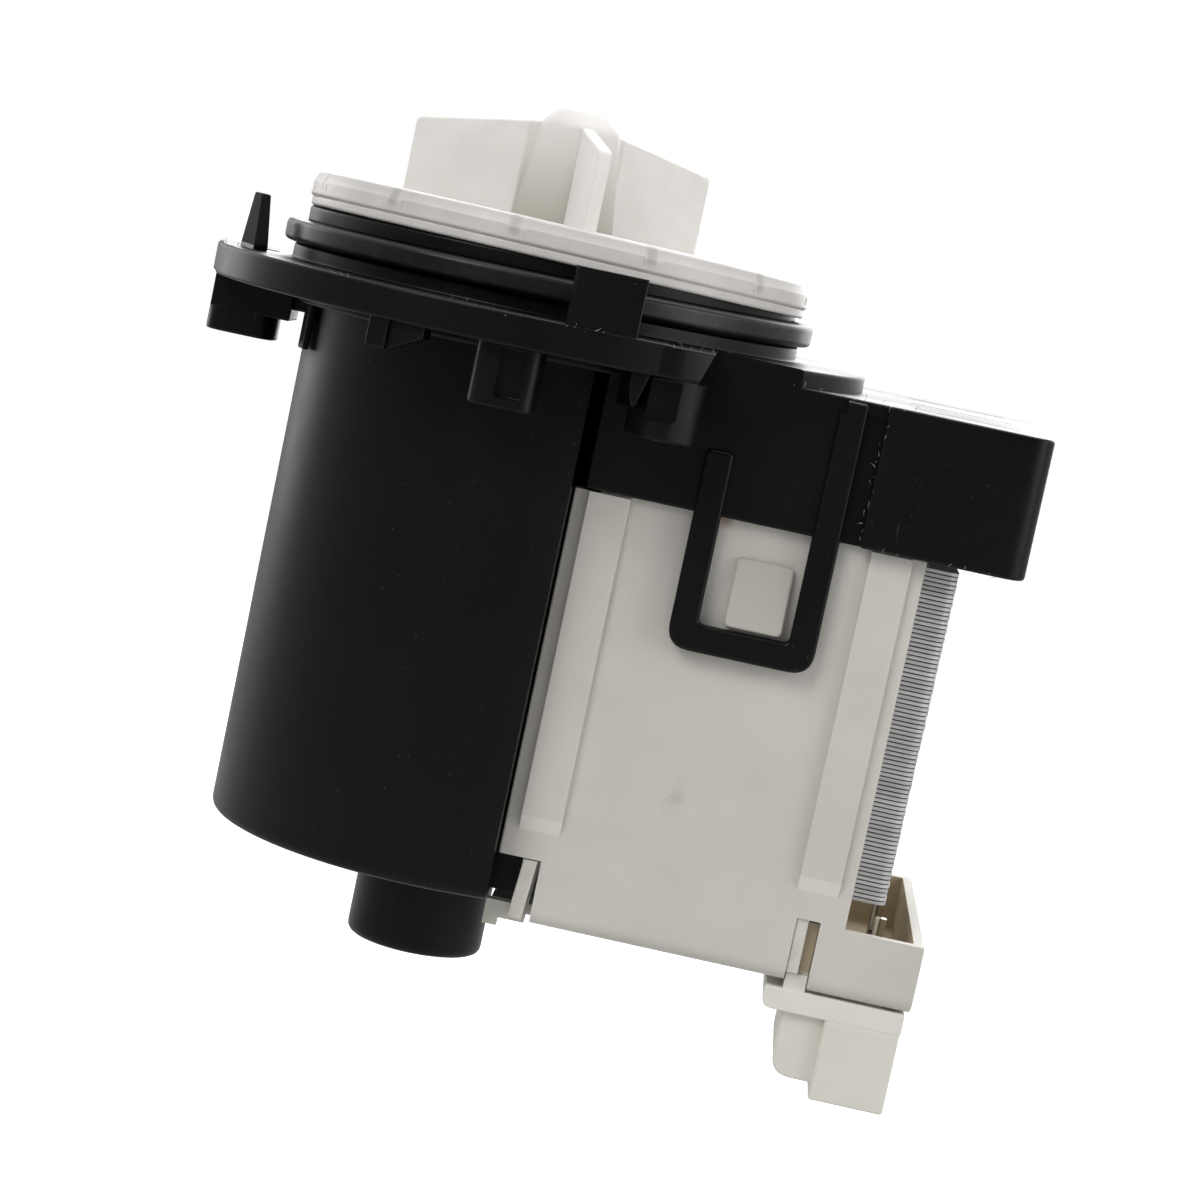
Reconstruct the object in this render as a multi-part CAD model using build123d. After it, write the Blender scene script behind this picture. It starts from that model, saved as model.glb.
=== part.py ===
import os
from math import cos, radians, sin

from build123d import *

# Washer drain pump: a synchronous motor under a round mounting flange, with
# the impeller that works inside the washer's sump above it.
# Frame: the rotor axis is Z and meets the flange's sealing face at the origin.
# The impeller is above it. The coils and the connector lie toward +X.

# General values
over = 1.0
seat_gap = 0.3
slide_gap = 0.1
shaft_play = 0.05

# Mounting flange, and the spigot that plugs into the sump
flange_beyond_screws = 6.3
flange_t = 4.6
spigot_r = 38.5
spigot_land_h = 2.2
groove_depth = 1.8
groove_h = 3.6
spigot_neck_in = 1.3
spigot_h = 8.0
spigot_wall = 4.4
screw_hole_r = 2.3
screw_angles = (180, -60, 60)

# Bosses and hooks under the flange
boss_base_r = 6.1
boss_base_h = 5.2
boss_r = 5.4
boss_half_w = 4.1
boss_h = 8.7
boss_out = 1.2
boss_clear = 2.5
boss_rib_w = 4.0
boss_rib_h = 3.5
guide_boss_angle = -90
guide_boss_r = 4.4
guide_boss_h = 8.7
hook_angle = -109.5
hook_inset = 2.7
hook_w = 8.2
hook_t = 2.6
hook_h = 4.0
hook_short_share = 0.4
hook_plate_w = 3.0
hook_plate_out = 0.8
collar_w = 1.9
collar_h = 1.5
gusset_angles = (-158, 158)
gusset_out = 1.0
gusset_w = 3.0
gusset_h = 8.2

# Upright tabs on the flange's rim, which the sump's bayonet guides on
tab_angle = -76
tab_inset = 1.3
tab_w = 10.0
tab_h = 8.2
tab_t = 1.8
fin_angle = 193.5
fin_inset = 5.6
fin_w = 8.0
fin_top_w = 2.6
fin_h = 8.2
fin_t = 3.0
fin_top_t = 1.2
fin_shoulder_share = 0.25

# Rotor can, the wet tube that the rotor turns in, and its rear bearing pocket
can_r = 17.1
can_wall = 1.4
can_floor_t = 2.0
stub_r = 10.4
stub_h = 15.3
stub_wall = 1.8
stub_floor_t = 1.9

# Motor shroud, the black barrel round the can and the pole ends
shroud_r = 34.4
shroud_wall = 2.4
shroud_bottom_z = -83.6
shroud_end_x = 11.2
shroud_edge = 1.2
cheek_x = 16.0
cheek_t = 2.4

# Motor cap, the black box beside the can that takes the coil cover's top
cap_x0 = 13.0
cap_step_x = 52.7
cap_x1 = 76.8
cap_side_wall = 1.4
cap_step = 1.5
cap_top_z = -2.4
cap_bottom_z = -22.9
cap_wall = 2.0
cap_corner_r = 4.0
cap_edge = 0.8
cap_recess_w = 2.5
cap_recess_depth = 0.6
cap_groove_w = 1.2
cap_groove_depth = 0.4
cap_groove_inset = 4.0
groove_spread_share = 0.75

# Snap loops that hang from the cap and hold the coil cover
loop_x0 = 28.8
loop_x1 = 50.0
loop_bar = 4.0
loop_h = 19.6
loop_t = 2.2
loop_corner_r = 3.2
loop_rise_left = 9.3
loop_rise_right = 19.1

# Stator core: a pile of U-shaped sheets whose legs reach round the can
lamination_count = 77
lamination_t = 0.65
core_bottom_z = -74.4
core_x1 = 68.2
core_pole_web = 2.6
core_yoke_w = 13.0
core_leg_w = 12.0
core_tip_x = -19.5
core_corner_r = 2.0

# Bobbins and windings on the two legs
bobbin_wall = 0.8
bobbin_x0 = 18.6
bobbin_end_t = 1.5
bobbin_slip = 0.2
winding_t = 3.9
winding_corner_r = 2.4
post_w = 3.4
post_x0 = 15.1
foot_x0 = 11.1
foot_h = 4.8
foot_drop = 2.6
slot_post_w = 1.5
slot_post_t = 2.0
slot_post_h = 4.4

# Coil cover, the white shell over both coils, with the terminal tray
cover_x0 = 11.5
cover_x1 = 62.8
cover_clear = 0.6
cover_wall = 1.6
cover_bottom_z = -86.9
cover_edge = 2.4
cover_overlap = 8.0
notch_x = 17.9
notch_z = -77.3
tray_x0 = 59.2
tray_x1 = 74.6
tray_top_z = -77.7
tray_drop = 0.9
slot_w = 3.5
rib_w = 6.3
rib_t = 1.0
rib_bottom_z = -73.2
rib_foot = 2.4
rib_inset_left = 1.8
rib_inset_right = 2.2
nub_w = 8.4
nub_x = 40.5
nub_top_z = -28.0
nub_thin = 0.6
nub_thick = 2.2
nub_slack = 0.5

# Terminal block with the connector shroud
block_inset = 2.7
block_w = 22.0
plate_x0 = 53.3
plate_h = 3.3
plate_gap = 0.3
shroud_box_x0 = 62.8
shroud_box_x1 = 74.0
shroud_box_bottom_z = -103.4
shroud_box_wall = 1.4
socket_depth = 12.4
lobe_x0 = 56.2
lobe_h = 9.8
lobe_corner_r = 5.2
lobe_inset = 1.2
lip_corner_r = 1.8
neck_top_z = -84.0
tab_blade_w = 6.3
tab_blade_t = 0.8
tab_blade_top_z = -76.2
tab_blade_inset = 2.2
tab_pin_w = 1.4
tab_pitch = 11.6

# Thermal cut-out and the coils' tails
cutout_l = 15.0
cutout_w = 6.4
cutout_h = 4.0
cutout_x = 26.0
lead_r = 0.45
lead_turn_r = 1.6

# Sump-side disc that closes the can and carries the front bearing
disc_r = 37.9
disc_rim_h = 4.7
disc_plate_t = 2.4
disc_hub_bottom_z = -11.4
disc_notches = 13
disc_notch_w = 2.5
disc_notch_depth = 1.8
disc_notch_start = -126.0

# Sump seal
seal_out = 1.7
seal_land = 1.2
seal_squeeze = 0.05

# Shaft, rotor and bearings
shaft_r = 2.5
shaft_top_z = 26.4
shaft_end_gap = 1.2
magnet_gap = 0.7
magnet_bore_r = 8.0
magnet_over = 2.0
hub_boss_r = 5.0
bearing_r = 6.0
bearing_l = 9.0
washer_t = 1.0
washer_r = 5.4
lip_seal_h = 5.0

# Impeller and its drive dog
impeller_gap = 0.5
impeller_tip_r = 26.3
impeller_tip_top_z = 24.3
impeller_root_top_z = 27.4
impeller_top_z = 29.8
impeller_hub_r0 = 7.8
impeller_hub_r1 = 5.9
impeller_dome = 2.0
dome_share = 0.6
blade_t = 2.0
blade_angles = (-77, 43, 163)
blade_corner_r = 1.2
dog_cavity_r = 5.7
dog_cavity_h = 8.8
dog_r = 3.9
dog_h = 6.4
dog_lug_angle = 56
dog_lug_gap = 0.25
lid_t = 1.5
lid_gap = 0.3

# Worked-out places
screw_circle_r = shroud_r + boss_base_r + boss_clear
flange_r = screw_circle_r + flange_beyond_screws
core_half_y = can_r + seat_gap + core_pole_web
cover_half_y = core_half_y + bobbin_slip + bobbin_wall + winding_t + cover_clear + cover_wall
cap_in_y = cover_half_y + seat_gap
cap_half_y = cap_in_y + cap_side_wall
block_y0 = block_inset - cover_half_y
block_y1 = block_y0 + block_w
core_h = lamination_count * lamination_t
core_top_z = core_bottom_z + core_h
core_mid_z = core_bottom_z + core_h / 2
leg_in_y = core_half_y - core_leg_w
leg_mid_y = core_half_y - core_leg_w / 2
yoke_in_x = core_x1 - core_yoke_w
can_in_r = can_r - can_wall
magnet_r = can_in_r - magnet_gap
can_bottom_z = shroud_bottom_z + shroud_wall + seat_gap
can_floor_z = can_bottom_z + can_floor_t
stub_bottom_z = shroud_bottom_z - stub_h
stub_floor_z = stub_bottom_z + stub_floor_t
pocket_r = stub_r - stub_wall
disc_z0 = spigot_h
disc_top_z = disc_z0 + disc_rim_h
loop_bottom_z = cap_bottom_z - loop_h
loop_back_y = cover_half_y + rib_t / 2
loop_front_y = loop_back_y + loop_t
nub_bottom_z = loop_bottom_z + loop_bar + nub_slack
cover_in_y = cover_half_y - cover_wall
guide_lip_y = core_half_y + cheek_t + 2 * seat_gap
cover_in_z = cover_bottom_z + cover_wall
cover_top_z = cap_bottom_z + cover_overlap
tray_bottom_z = cover_bottom_z - tray_drop
tray_in_z = tray_bottom_z + cover_wall
plate_top_z = tray_bottom_z - plate_gap
plate_bottom_z = plate_top_z - plate_h
tab_blade_x = (shroud_box_x0 + shroud_box_x1) / 2
block_mid_y = (block_y0 + block_y1) / 2
magnet_top_z = core_top_z + magnet_over
magnet_bottom_z = core_bottom_z - magnet_over
rear_bearing_z = stub_floor_z
front_bearing_z = disc_hub_bottom_z
rear_bearing_top_z = rear_bearing_z + bearing_l
shaft_bottom_z = stub_floor_z + shaft_end_gap
impeller_z0 = disc_top_z + impeller_gap


def box_between(x0, x1, y0, y1, z0, z1):
    """A block given by its faces."""
    block = Box(x1 - x0, y1 - y0, z1 - z0)
    return Pos((x0 + x1) / 2, (y0 + y1) / 2, (z0 + z1) / 2) * block


def rod(radius, z0, z1, x=0, y=0):
    """A round bar along Z."""
    return Pos(x, y, (z0 + z1) / 2) * Cylinder(radius, z1 - z0)


def tube(outer, inner, z0, z1):
    """A round tube on the rotor axis."""
    return rod(outer, z0, z1) - rod(inner, z0 - over, z1 + over)


def turned(points):
    """A piece turned about the rotor axis from its (r, z) outline."""
    outline = Polyline(*[(r, 0, z) for r, z in points], close=True)
    return revolve(make_face(outline), Axis.Z)


def at_polar(shape, radius, angle):
    """Stands a shape on a circle about the rotor axis, turned to face out."""
    place = Pos(radius * cos(radians(angle)), radius * sin(radians(angle)), 0)
    return place * Rot(0, 0, angle) * shape


def mirrored(shape):
    """The same shape on the hidden side, past the plane of symmetry."""
    return shape + mirror(shape, about=Plane.XZ)


def plate(sketch, z0, z1):
    """A flat outline in XY raised from z0 to z1."""
    return Pos(0, 0, z0) * extrude(sketch, z1 - z0)


def hanging(sketch, height, radius, angle):
    """A flat outline that hangs from the flange by its height, out on a circle."""
    return at_polar(plate(sketch, -flange_t - height, -flange_t / 2), radius, angle)


def screw_boss(angle):
    """Screw boss under the flange: a square base, an oval barrel and a rib to the collar."""
    base = Rectangle(2 * boss_base_r, 2 * boss_half_w)
    boss = hanging(base, boss_base_h, screw_circle_r, angle)
    barrel = SlotOverall(2 * boss_r, 2 * boss_half_w)
    boss += hanging(barrel, boss_h, screw_circle_r + boss_out, angle)
    rib_in_r = shroud_r + seat_gap
    rib = Rectangle(screw_circle_r - rib_in_r, boss_rib_w)
    return boss + hanging(rib, boss_rib_h, (rib_in_r + screw_circle_r) / 2, angle)


def hook():
    """Wiring hook under the rim: a block cut off at a slant, and a plate beside it."""
    outline = Polyline(
        (-hook_w / 2, -flange_t / 2),
        (hook_w / 2, -flange_t / 2),
        (hook_w / 2, -flange_t - hook_h * hook_short_share),
        (-hook_w / 2, -flange_t - hook_h),
        close=True,
    )
    block = extrude(Plane.YZ * make_face(outline), hook_t / 2, both=True)
    side = box_between(
        -hook_t / 2,
        hook_t / 2 + hook_plate_out,
        -hook_w / 2,
        hook_plate_w - hook_w / 2,
        -flange_t - hook_h,
        -flange_t / 2,
    )
    return block + side


def fin():
    """Pointed fin on top of the flange, which also thins toward its top."""
    outline = Polyline(
        (-fin_w / 2, -flange_t / 2),
        (fin_w / 2, -flange_t / 2),
        (fin_w / 2, fin_h * fin_shoulder_share),
        (fin_top_w / 2, fin_h),
        (-fin_top_w / 2, fin_h),
        close=True,
    )
    front = extrude(Plane.YZ * make_face(outline), fin_t / 2, both=True)
    outline = Polyline(
        (-fin_t / 2, -flange_t / 2),
        (fin_t / 2, -flange_t / 2),
        (fin_t / 2, 0),
        (fin_top_t / 2, fin_h),
        (-fin_top_t / 2, fin_h),
        (-fin_t / 2, 0),
        close=True,
    )
    return front & extrude(Plane.XZ * make_face(outline), fin_w / 2, both=True)


def snap_loop():
    """Spring loop on the cap's front: two arms and a bar below, in the XZ plane."""
    outer = box_between(
        loop_x0, loop_x1, -loop_front_y, -loop_back_y, loop_bottom_z, cap_bottom_z + over
    )
    lower = outer.edges().filter_by(Axis.Y).group_by(Axis.Z)[0]
    outer = fillet(lower, loop_corner_r)
    window = box_between(
        loop_x0 + loop_bar,
        loop_x1 - loop_bar,
        -loop_front_y - over,
        -loop_back_y + over,
        loop_bottom_z + loop_bar,
        cap_bottom_z,
    )
    left = box_between(
        loop_x0,
        loop_x0 + loop_bar,
        -loop_front_y,
        -cap_in_y - seat_gap,
        cap_bottom_z,
        cap_bottom_z + loop_rise_left,
    )
    right = box_between(
        loop_x1 - loop_bar,
        loop_x1,
        -loop_front_y,
        -cap_in_y - seat_gap,
        cap_bottom_z,
        cap_bottom_z + loop_rise_right,
    )
    return outer - window + left + right


def cap_block():
    """Outside of the motor cap, deeper past its step, with a rounded far end."""
    near = box_between(
        cap_x0, cap_step_x + cap_step, -cap_half_y, cap_half_y, cap_bottom_z, cap_top_z
    )
    recess = box_between(
        cap_step_x - cap_recess_w,
        cap_step_x,
        cap_half_y - cap_recess_depth,
        cap_half_y + over,
        cap_bottom_z - over,
        cap_top_z - cap_wall,
    )
    near -= mirrored(recess)
    deep = cap_half_y + cap_step
    far = box_between(cap_step_x, cap_x1, -deep, deep, cap_bottom_z, cap_top_z)
    corners = far.edges().filter_by(Axis.Z).group_by(Axis.X)[-1]
    far = fillet(corners, cap_corner_r)
    rim = far.edges().group_by(Axis.Z)[-1]
    far = chamfer(rim, cap_edge)
    return near + far


def cap_top_grooves():
    """Shallow moulded grooves on the cap's far top."""
    x0 = cap_step_x + cap_groove_inset
    x1 = cap_x1 - cap_groove_inset
    z0 = cap_top_z - cap_groove_depth
    half = cap_half_y - cap_groove_inset
    grooves = []
    for step in range(-1, 2):
        y = step * half * groove_spread_share
        line = box_between(x0, x1, y - cap_groove_w / 2, y + cap_groove_w / 2, z0, cap_top_z + over)
        grooves.append(line)
    return grooves


def pump_body():
    """Flange, spigot, rotor can, motor cap and snap loops, moulded in one."""
    spigot_top_r = spigot_r - groove_depth
    spigot_neck_r = spigot_r - spigot_neck_in
    groove_z1 = spigot_land_h + groove_h
    shell = turned(
        [
            (0, stub_bottom_z),
            (stub_r, stub_bottom_z),
            (stub_r, can_bottom_z),
            (can_r, can_bottom_z),
            (can_r, -flange_t),
            (flange_r, -flange_t),
            (flange_r, 0),
            (spigot_r, 0),
            (spigot_r, spigot_land_h),
            (spigot_top_r, spigot_land_h),
            (spigot_top_r, groove_z1),
            (spigot_neck_r, groove_z1),
            (spigot_neck_r, spigot_h),
            (0, spigot_h),
        ]
    )
    collar_in_r = shroud_r + seat_gap
    shell += tube(collar_in_r + collar_w, collar_in_r, -flange_t - collar_h, -flange_t / 2)
    shell += cap_block()
    for angle in screw_angles:
        shell += screw_boss(angle)
    shell += hanging(Circle(guide_boss_r), guide_boss_h, screw_circle_r, guide_boss_angle)
    shell += at_polar(hook(), flange_r - hook_inset, hook_angle)
    gusset_r = collar_in_r + slide_gap + gusset_out / 2
    for angle in gusset_angles:
        shell += hanging(Rectangle(gusset_out, gusset_w), gusset_h, gusset_r, angle)
    tab = plate(Rectangle(tab_t, tab_w), -flange_t / 2, tab_h)
    shell += at_polar(tab, flange_r - tab_inset, tab_angle)
    shell += at_polar(fin(), flange_r - fin_inset, fin_angle)
    shell += mirrored(snap_loop())

    cavity = box_between(
        cap_x0 + cap_wall,
        cap_x1 - cap_wall,
        -cap_in_y,
        cap_in_y,
        cap_bottom_z - over,
        -flange_t - seat_gap,
    )
    cavity -= rod(can_r, cap_bottom_z - 2 * over, 0)
    shell -= cavity
    shell -= rod(can_in_r, can_floor_z, spigot_h + over)
    shell -= rod(pocket_r, stub_floor_z, can_floor_z + over)
    shell -= tube(spigot_r - spigot_wall, can_r, 0, spigot_h + over)
    for angle in screw_angles:
        hole = rod(screw_hole_r, -flange_t - boss_h - over, over)
        shell -= at_polar(hole, screw_circle_r, angle)
    for groove in cap_top_grooves():
        shell -= groove
    return shell


def motor_shroud():
    """Black barrel over the can and the pole ends, open toward the coils."""
    top_z = -flange_t
    whole = rod(shroud_r, shroud_bottom_z, top_z)
    whole = chamfer(whole.edges().group_by(Axis.Z)[0], shroud_edge)
    hollow = rod(shroud_r - shroud_wall, shroud_bottom_z + shroud_wall, top_z + over)
    open_side = box_between(
        shroud_end_x,
        shroud_r + over,
        -shroud_r - over,
        shroud_r + over,
        shroud_bottom_z - over,
        top_z + over,
    )
    shell = whole - hollow - open_side
    guide_half = core_half_y + seat_gap
    cheek_y1 = guide_half + cheek_t
    cheek_z1 = cap_bottom_z - seat_gap
    cheek = box_between(
        shroud_end_x - 2 * cheek_t, cheek_x, guide_half, cheek_y1, shroud_bottom_z, cheek_z1
    )
    web_y1 = (shroud_r**2 - shroud_end_x**2) ** 0.5 - shroud_wall / 2
    web = box_between(
        shroud_end_x - cheek_t, shroud_end_x, guide_half, web_y1, shroud_bottom_z, cheek_z1
    )
    floor_z1 = shroud_bottom_z + shroud_wall
    floor = box_between(
        shroud_end_x - over, cheek_x, -guide_half, guide_half, shroud_bottom_z, floor_z1
    )
    shell += mirrored(cheek + web)
    shell += floor
    return shell - rod(stub_r + seat_gap, shroud_bottom_z - over, floor_z1 + over)


def stator_core():
    """Pile of U-shaped sheets, bored at the leg ends for the can."""
    outline = Rectangle(core_x1 - core_tip_x, 2 * core_half_y)
    outline = Pos((core_x1 + core_tip_x) / 2, 0) * outline
    outline = fillet(outline.vertices().group_by(Axis.X)[-1], core_corner_r)
    gap = Rectangle(yoke_in_x - core_tip_x + over, 2 * leg_in_y)
    gap = Pos((yoke_in_x + core_tip_x - over) / 2, 0) * gap
    profile = outline - gap - Circle(can_r + seat_gap)
    return plate(profile, core_bottom_z, core_top_z)


def leg_ring(grow_in, grow_out, x0, x1, corner_r):
    """A sleeve round the front leg, from one distance off it to another."""
    centre = Plane(origin=(x0, -leg_mid_y, core_mid_z), x_dir=(0, 1, 0), z_dir=(1, 0, 0))
    outer = Rectangle(core_leg_w + 2 * grow_out, core_h + 2 * grow_out)
    if corner_r:
        outer = fillet(outer.vertices(), corner_r)
    inner = Rectangle(core_leg_w + 2 * grow_in, core_h + 2 * grow_in)
    return extrude(centre * (outer - inner), x1 - x0)


def bobbin():
    """Coil former on the front leg, with an end plate at both ends."""
    x1 = yoke_in_x - seat_gap
    tube_out = bobbin_slip + bobbin_wall
    end_out = tube_out + winding_t
    former = leg_ring(bobbin_slip, tube_out, bobbin_x0, x1, 0)
    former += leg_ring(bobbin_slip, end_out, bobbin_x0, bobbin_x0 + bobbin_end_t, 0)
    former += leg_ring(bobbin_slip, end_out, x1 - bobbin_end_t, x1, 0)
    return former


def bobbin_front():
    """Front bobbin, with the posts that show in the cover's notch and slot."""
    end_out = bobbin_slip + bobbin_wall + winding_t
    y0 = -core_half_y - end_out
    y1 = -guide_lip_y
    end_z = core_bottom_z - end_out
    post_x1 = notch_x - seat_gap
    bridge = box_between(
        post_x0, bobbin_x0 + bobbin_end_t, y0, y1, end_z - post_w, end_z + post_w
    )
    post = box_between(post_x0, post_x1, y0, y1, cover_bottom_z, end_z)
    foot_z1 = cover_bottom_z + foot_h - foot_drop
    foot = box_between(foot_x0, post_x1, y0, y1, foot_z1 - foot_h, foot_z1)
    slot_x1 = tray_x0 - slot_post_w
    end_x = yoke_in_x - seat_gap - bobbin_end_t
    arm_z1 = notch_z + seat_gap
    arm = box_between(end_x, slot_x1, y0, y0 + slot_post_t, end_z, arm_z1)
    slot_post = box_between(
        slot_x1 - slot_post_w, slot_x1, y0, y0 + slot_post_t, end_z - slot_post_h, arm_z1
    )
    return bobbin() + bridge + post + foot + arm + slot_post


def winding():
    """Coil of enamelled wire on the front bobbin."""
    x0 = bobbin_x0 + bobbin_end_t
    x1 = yoke_in_x - seat_gap - bobbin_end_t
    tube_out = bobbin_slip + bobbin_wall
    return leg_ring(tube_out, tube_out + winding_t - seat_gap, x0, x1, winding_corner_r)


def other_leg(shape):
    """The same piece on the hidden leg."""
    return mirror(shape, about=Plane.XZ)


def cover_rib(x0):
    """Stiffening rib down the cover's front, with a bevelled foot."""
    y0 = -cover_half_y - rib_t
    outline = Polyline(
        (-cover_half_y, rib_bottom_z - rib_foot),
        (y0, rib_bottom_z),
        (y0, cap_bottom_z - seat_gap),
        (-cover_half_y, cap_bottom_z - seat_gap),
        close=True,
    )
    face = Plane.YZ * make_face(outline)
    return Pos(x0, 0, 0) * extrude(face, rib_w)


def cover_nub():
    """Catch that the snap loop drops over, thicker toward its lower end."""
    outline = Polyline(
        (-cover_half_y + cover_wall / 2, nub_top_z),
        (-cover_half_y - nub_thin, nub_top_z),
        (-cover_half_y - nub_thick, nub_bottom_z),
        (-cover_half_y + cover_wall / 2, nub_bottom_z),
        close=True,
    )
    face = Plane.YZ * make_face(outline)
    return Pos(nub_x - nub_w / 2, 0, 0) * extrude(face, nub_w)


def coil_cover():
    """White shell over both coils, open at the top, with the terminal tray."""
    main = box_between(
        cover_x0, cover_x1, -cover_half_y, cover_half_y, cover_bottom_z, cover_top_z
    )
    main = fillet(main.edges().filter_by(Axis.X).group_by(Axis.Z)[0], cover_edge)
    tray = box_between(tray_x0, tray_x1, -cover_half_y, cover_half_y, tray_bottom_z, tray_top_z)
    tray = fillet(tray.edges().filter_by(Axis.X).group_by(Axis.Z)[0], cover_edge)
    tray_corner = tray.edges().filter_by(Axis.Y).group_by(Axis.Z)[0].sort_by(Axis.X)[-1]
    tray = fillet(tray_corner, cover_edge)
    inside_z1 = cover_top_z + over
    inside = box_between(
        cover_x0 - over, cover_x1 + over, -cover_in_y, cover_in_y, cover_in_z, inside_z1
    )
    tray_inside = box_between(
        tray_x0, tray_x1 - cover_wall, -cover_in_y, cover_in_y, tray_in_z, inside_z1
    )
    shell = main + tray - inside - tray_inside
    shell -= box_between(
        cover_x0 - over,
        cap_x0 + cap_wall + seat_gap,
        -cover_half_y - over,
        cover_half_y + over,
        cap_bottom_z - seat_gap,
        inside_z1,
    )
    near_end = box_between(
        cover_x0, cover_x0 + cover_wall, guide_lip_y, cover_in_y, notch_z, cap_bottom_z - seat_gap
    )
    far_end = box_between(
        cover_x1 - cover_wall, cover_x1, core_half_y + seat_gap, cover_in_y, tray_top_z, cover_top_z
    )
    shell += mirrored(near_end + far_end)
    shell += mirrored(cover_rib(cover_x0 + rib_inset_left))
    shell += mirrored(cover_rib(cover_x1 - rib_inset_right - rib_w))
    shell += mirrored(cover_nub())
    cut_y1 = cover_half_y + over
    cut_z0 = cover_bottom_z - over
    notch = box_between(cover_x0 - over, notch_x, core_half_y, cut_y1, cut_z0, notch_z)
    slot = box_between(
        tray_x0 - slot_w, tray_x0, cover_in_y - cover_edge, cut_y1, cut_z0, notch_z
    )
    shell -= mirrored(notch + slot)
    opening_x1 = tray_x1 - cover_wall - cover_edge
    return shell - box_between(
        lobe_x0, opening_x1, block_y0, block_y1, tray_bottom_z - over, cover_in_z + over
    )


def terminal_block():
    """Connector shroud under the cover, with the neck that holds the tabs."""
    lip = box_between(plate_x0, shroud_box_x1, block_y0, block_y1, plate_bottom_z, plate_top_z)
    lip_corner = lip.edges().filter_by(Axis.Y).group_by(Axis.Z)[0].sort_by(Axis.X)[0]
    lip = fillet(lip_corner, lip_corner_r)
    box = box_between(
        shroud_box_x0, shroud_box_x1, block_y0, block_y1, shroud_box_bottom_z, plate_top_z
    )
    lobe = box_between(
        lobe_x0,
        shroud_box_x0 + shroud_box_wall,
        block_y0 + lobe_inset,
        block_y1 - lobe_inset,
        plate_bottom_z - lobe_h,
        plate_top_z,
    )
    lobe_corner = lobe.edges().filter_by(Axis.Y).group_by(Axis.Z)[0].sort_by(Axis.X)[0]
    lobe = fillet(lobe_corner, lobe_corner_r)
    neck = box_between(
        lobe_x0 + seat_gap,
        tray_x1 - cover_wall - cover_edge - seat_gap,
        block_y0 + seat_gap,
        block_y1 - seat_gap,
        plate_bottom_z,
        neck_top_z,
    )
    socket = box_between(
        shroud_box_x0 + shroud_box_wall,
        shroud_box_x1 - shroud_box_wall,
        block_y0 + shroud_box_wall,
        block_y1 - shroud_box_wall,
        shroud_box_bottom_z - over,
        shroud_box_bottom_z + socket_depth,
    )
    block = lip + box + lobe + neck - socket
    for y in tab_places():
        block -= box_between(
            tab_blade_x - tab_blade_t / 2,
            tab_blade_x + tab_blade_t / 2,
            y - tab_blade_w / 2,
            y + tab_blade_w / 2,
            shroud_box_bottom_z,
            neck_top_z + over,
        )
    return block


def tab_places():
    """Y of each terminal tab."""
    return (block_mid_y - tab_pitch / 2, block_mid_y + tab_pitch / 2)


def terminal_tabs():
    """Two brass blades, each with a pin above that the coil's tail is soldered to."""
    tabs = []
    for y in tab_places():
        blade = box_between(
            tab_blade_x - tab_blade_t / 2,
            tab_blade_x + tab_blade_t / 2,
            y - tab_blade_w / 2,
            y + tab_blade_w / 2,
            shroud_box_bottom_z + tab_blade_inset,
            neck_top_z,
        )
        blade = chamfer(blade.edges().filter_by(Axis.X).group_by(Axis.Z)[0], tab_blade_t)
        pin = box_between(
            tab_blade_x - tab_blade_t / 2,
            tab_blade_x + tab_blade_t / 2,
            y - tab_pin_w / 2,
            y + tab_pin_w / 2,
            neck_top_z,
            tab_blade_top_z,
        )
        tabs.append(blade + pin)
    return tabs


def thermal_cutout():
    """Small cut-out lying against the front coil's underside."""
    top_z = core_bottom_z - bobbin_slip - bobbin_wall - winding_t + seat_gap
    body = box_between(
        cutout_x,
        cutout_x + cutout_l,
        -leg_mid_y - cutout_w / 2,
        -leg_mid_y + cutout_w / 2,
        top_z - cutout_h,
        top_z,
    )
    return fillet(body.edges().filter_by(Axis.X), cutout_h / 4)


def chamber_disc():
    """Translucent disc that closes the can and holds the front bearing."""
    plate_z0 = disc_top_z - disc_plate_t
    hub_r = can_in_r - slide_gap
    disc = turned(
        [
            (shaft_r + seat_gap, plate_z0),
            (pocket_r, plate_z0),
            (pocket_r, disc_hub_bottom_z),
            (hub_r, disc_hub_bottom_z),
            (hub_r, disc_z0),
            (disc_r, disc_z0),
            (disc_r, disc_top_z),
            (shaft_r + seat_gap, disc_top_z),
        ]
    )
    notch = Box(2 * disc_notch_depth, disc_notch_w, disc_rim_h)
    notch = Pos(0, 0, disc_top_z) * notch
    for index in range(disc_notches):
        angle = disc_notch_start + index * 360 / disc_notches
        disc -= at_polar(notch, disc_r, angle)
    return disc


def seal_ring():
    """Rubber seal in the spigot's groove, squeezed by the sump's bore."""
    inner_r = spigot_r - groove_depth + seal_squeeze
    outer_r = spigot_r + seal_out
    z0 = spigot_land_h + seal_squeeze
    z1 = spigot_land_h + groove_h - seal_squeeze
    land_z0 = (z0 + z1 - seal_land) / 2
    return turned(
        [
            (inner_r, z0),
            (spigot_r, z0),
            (outer_r, land_z0),
            (outer_r, land_z0 + seal_land),
            (spigot_r, z1),
            (inner_r, z1),
        ]
    )


def bearing_seat(z0):
    """Rubber sleeve between a bearing and its pocket."""
    return tube(pocket_r - shaft_play, bearing_r, z0, z0 + bearing_l)


def bearing(z0):
    """Sintered bush that the shaft turns in."""
    return tube(bearing_r, shaft_r + shaft_play, z0, z0 + bearing_l)


def thrust_washer(z0):
    """Washer between a bush and the rotor's hub."""
    return tube(washer_r, shaft_r + shaft_play, z0, z0 + washer_t)


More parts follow.
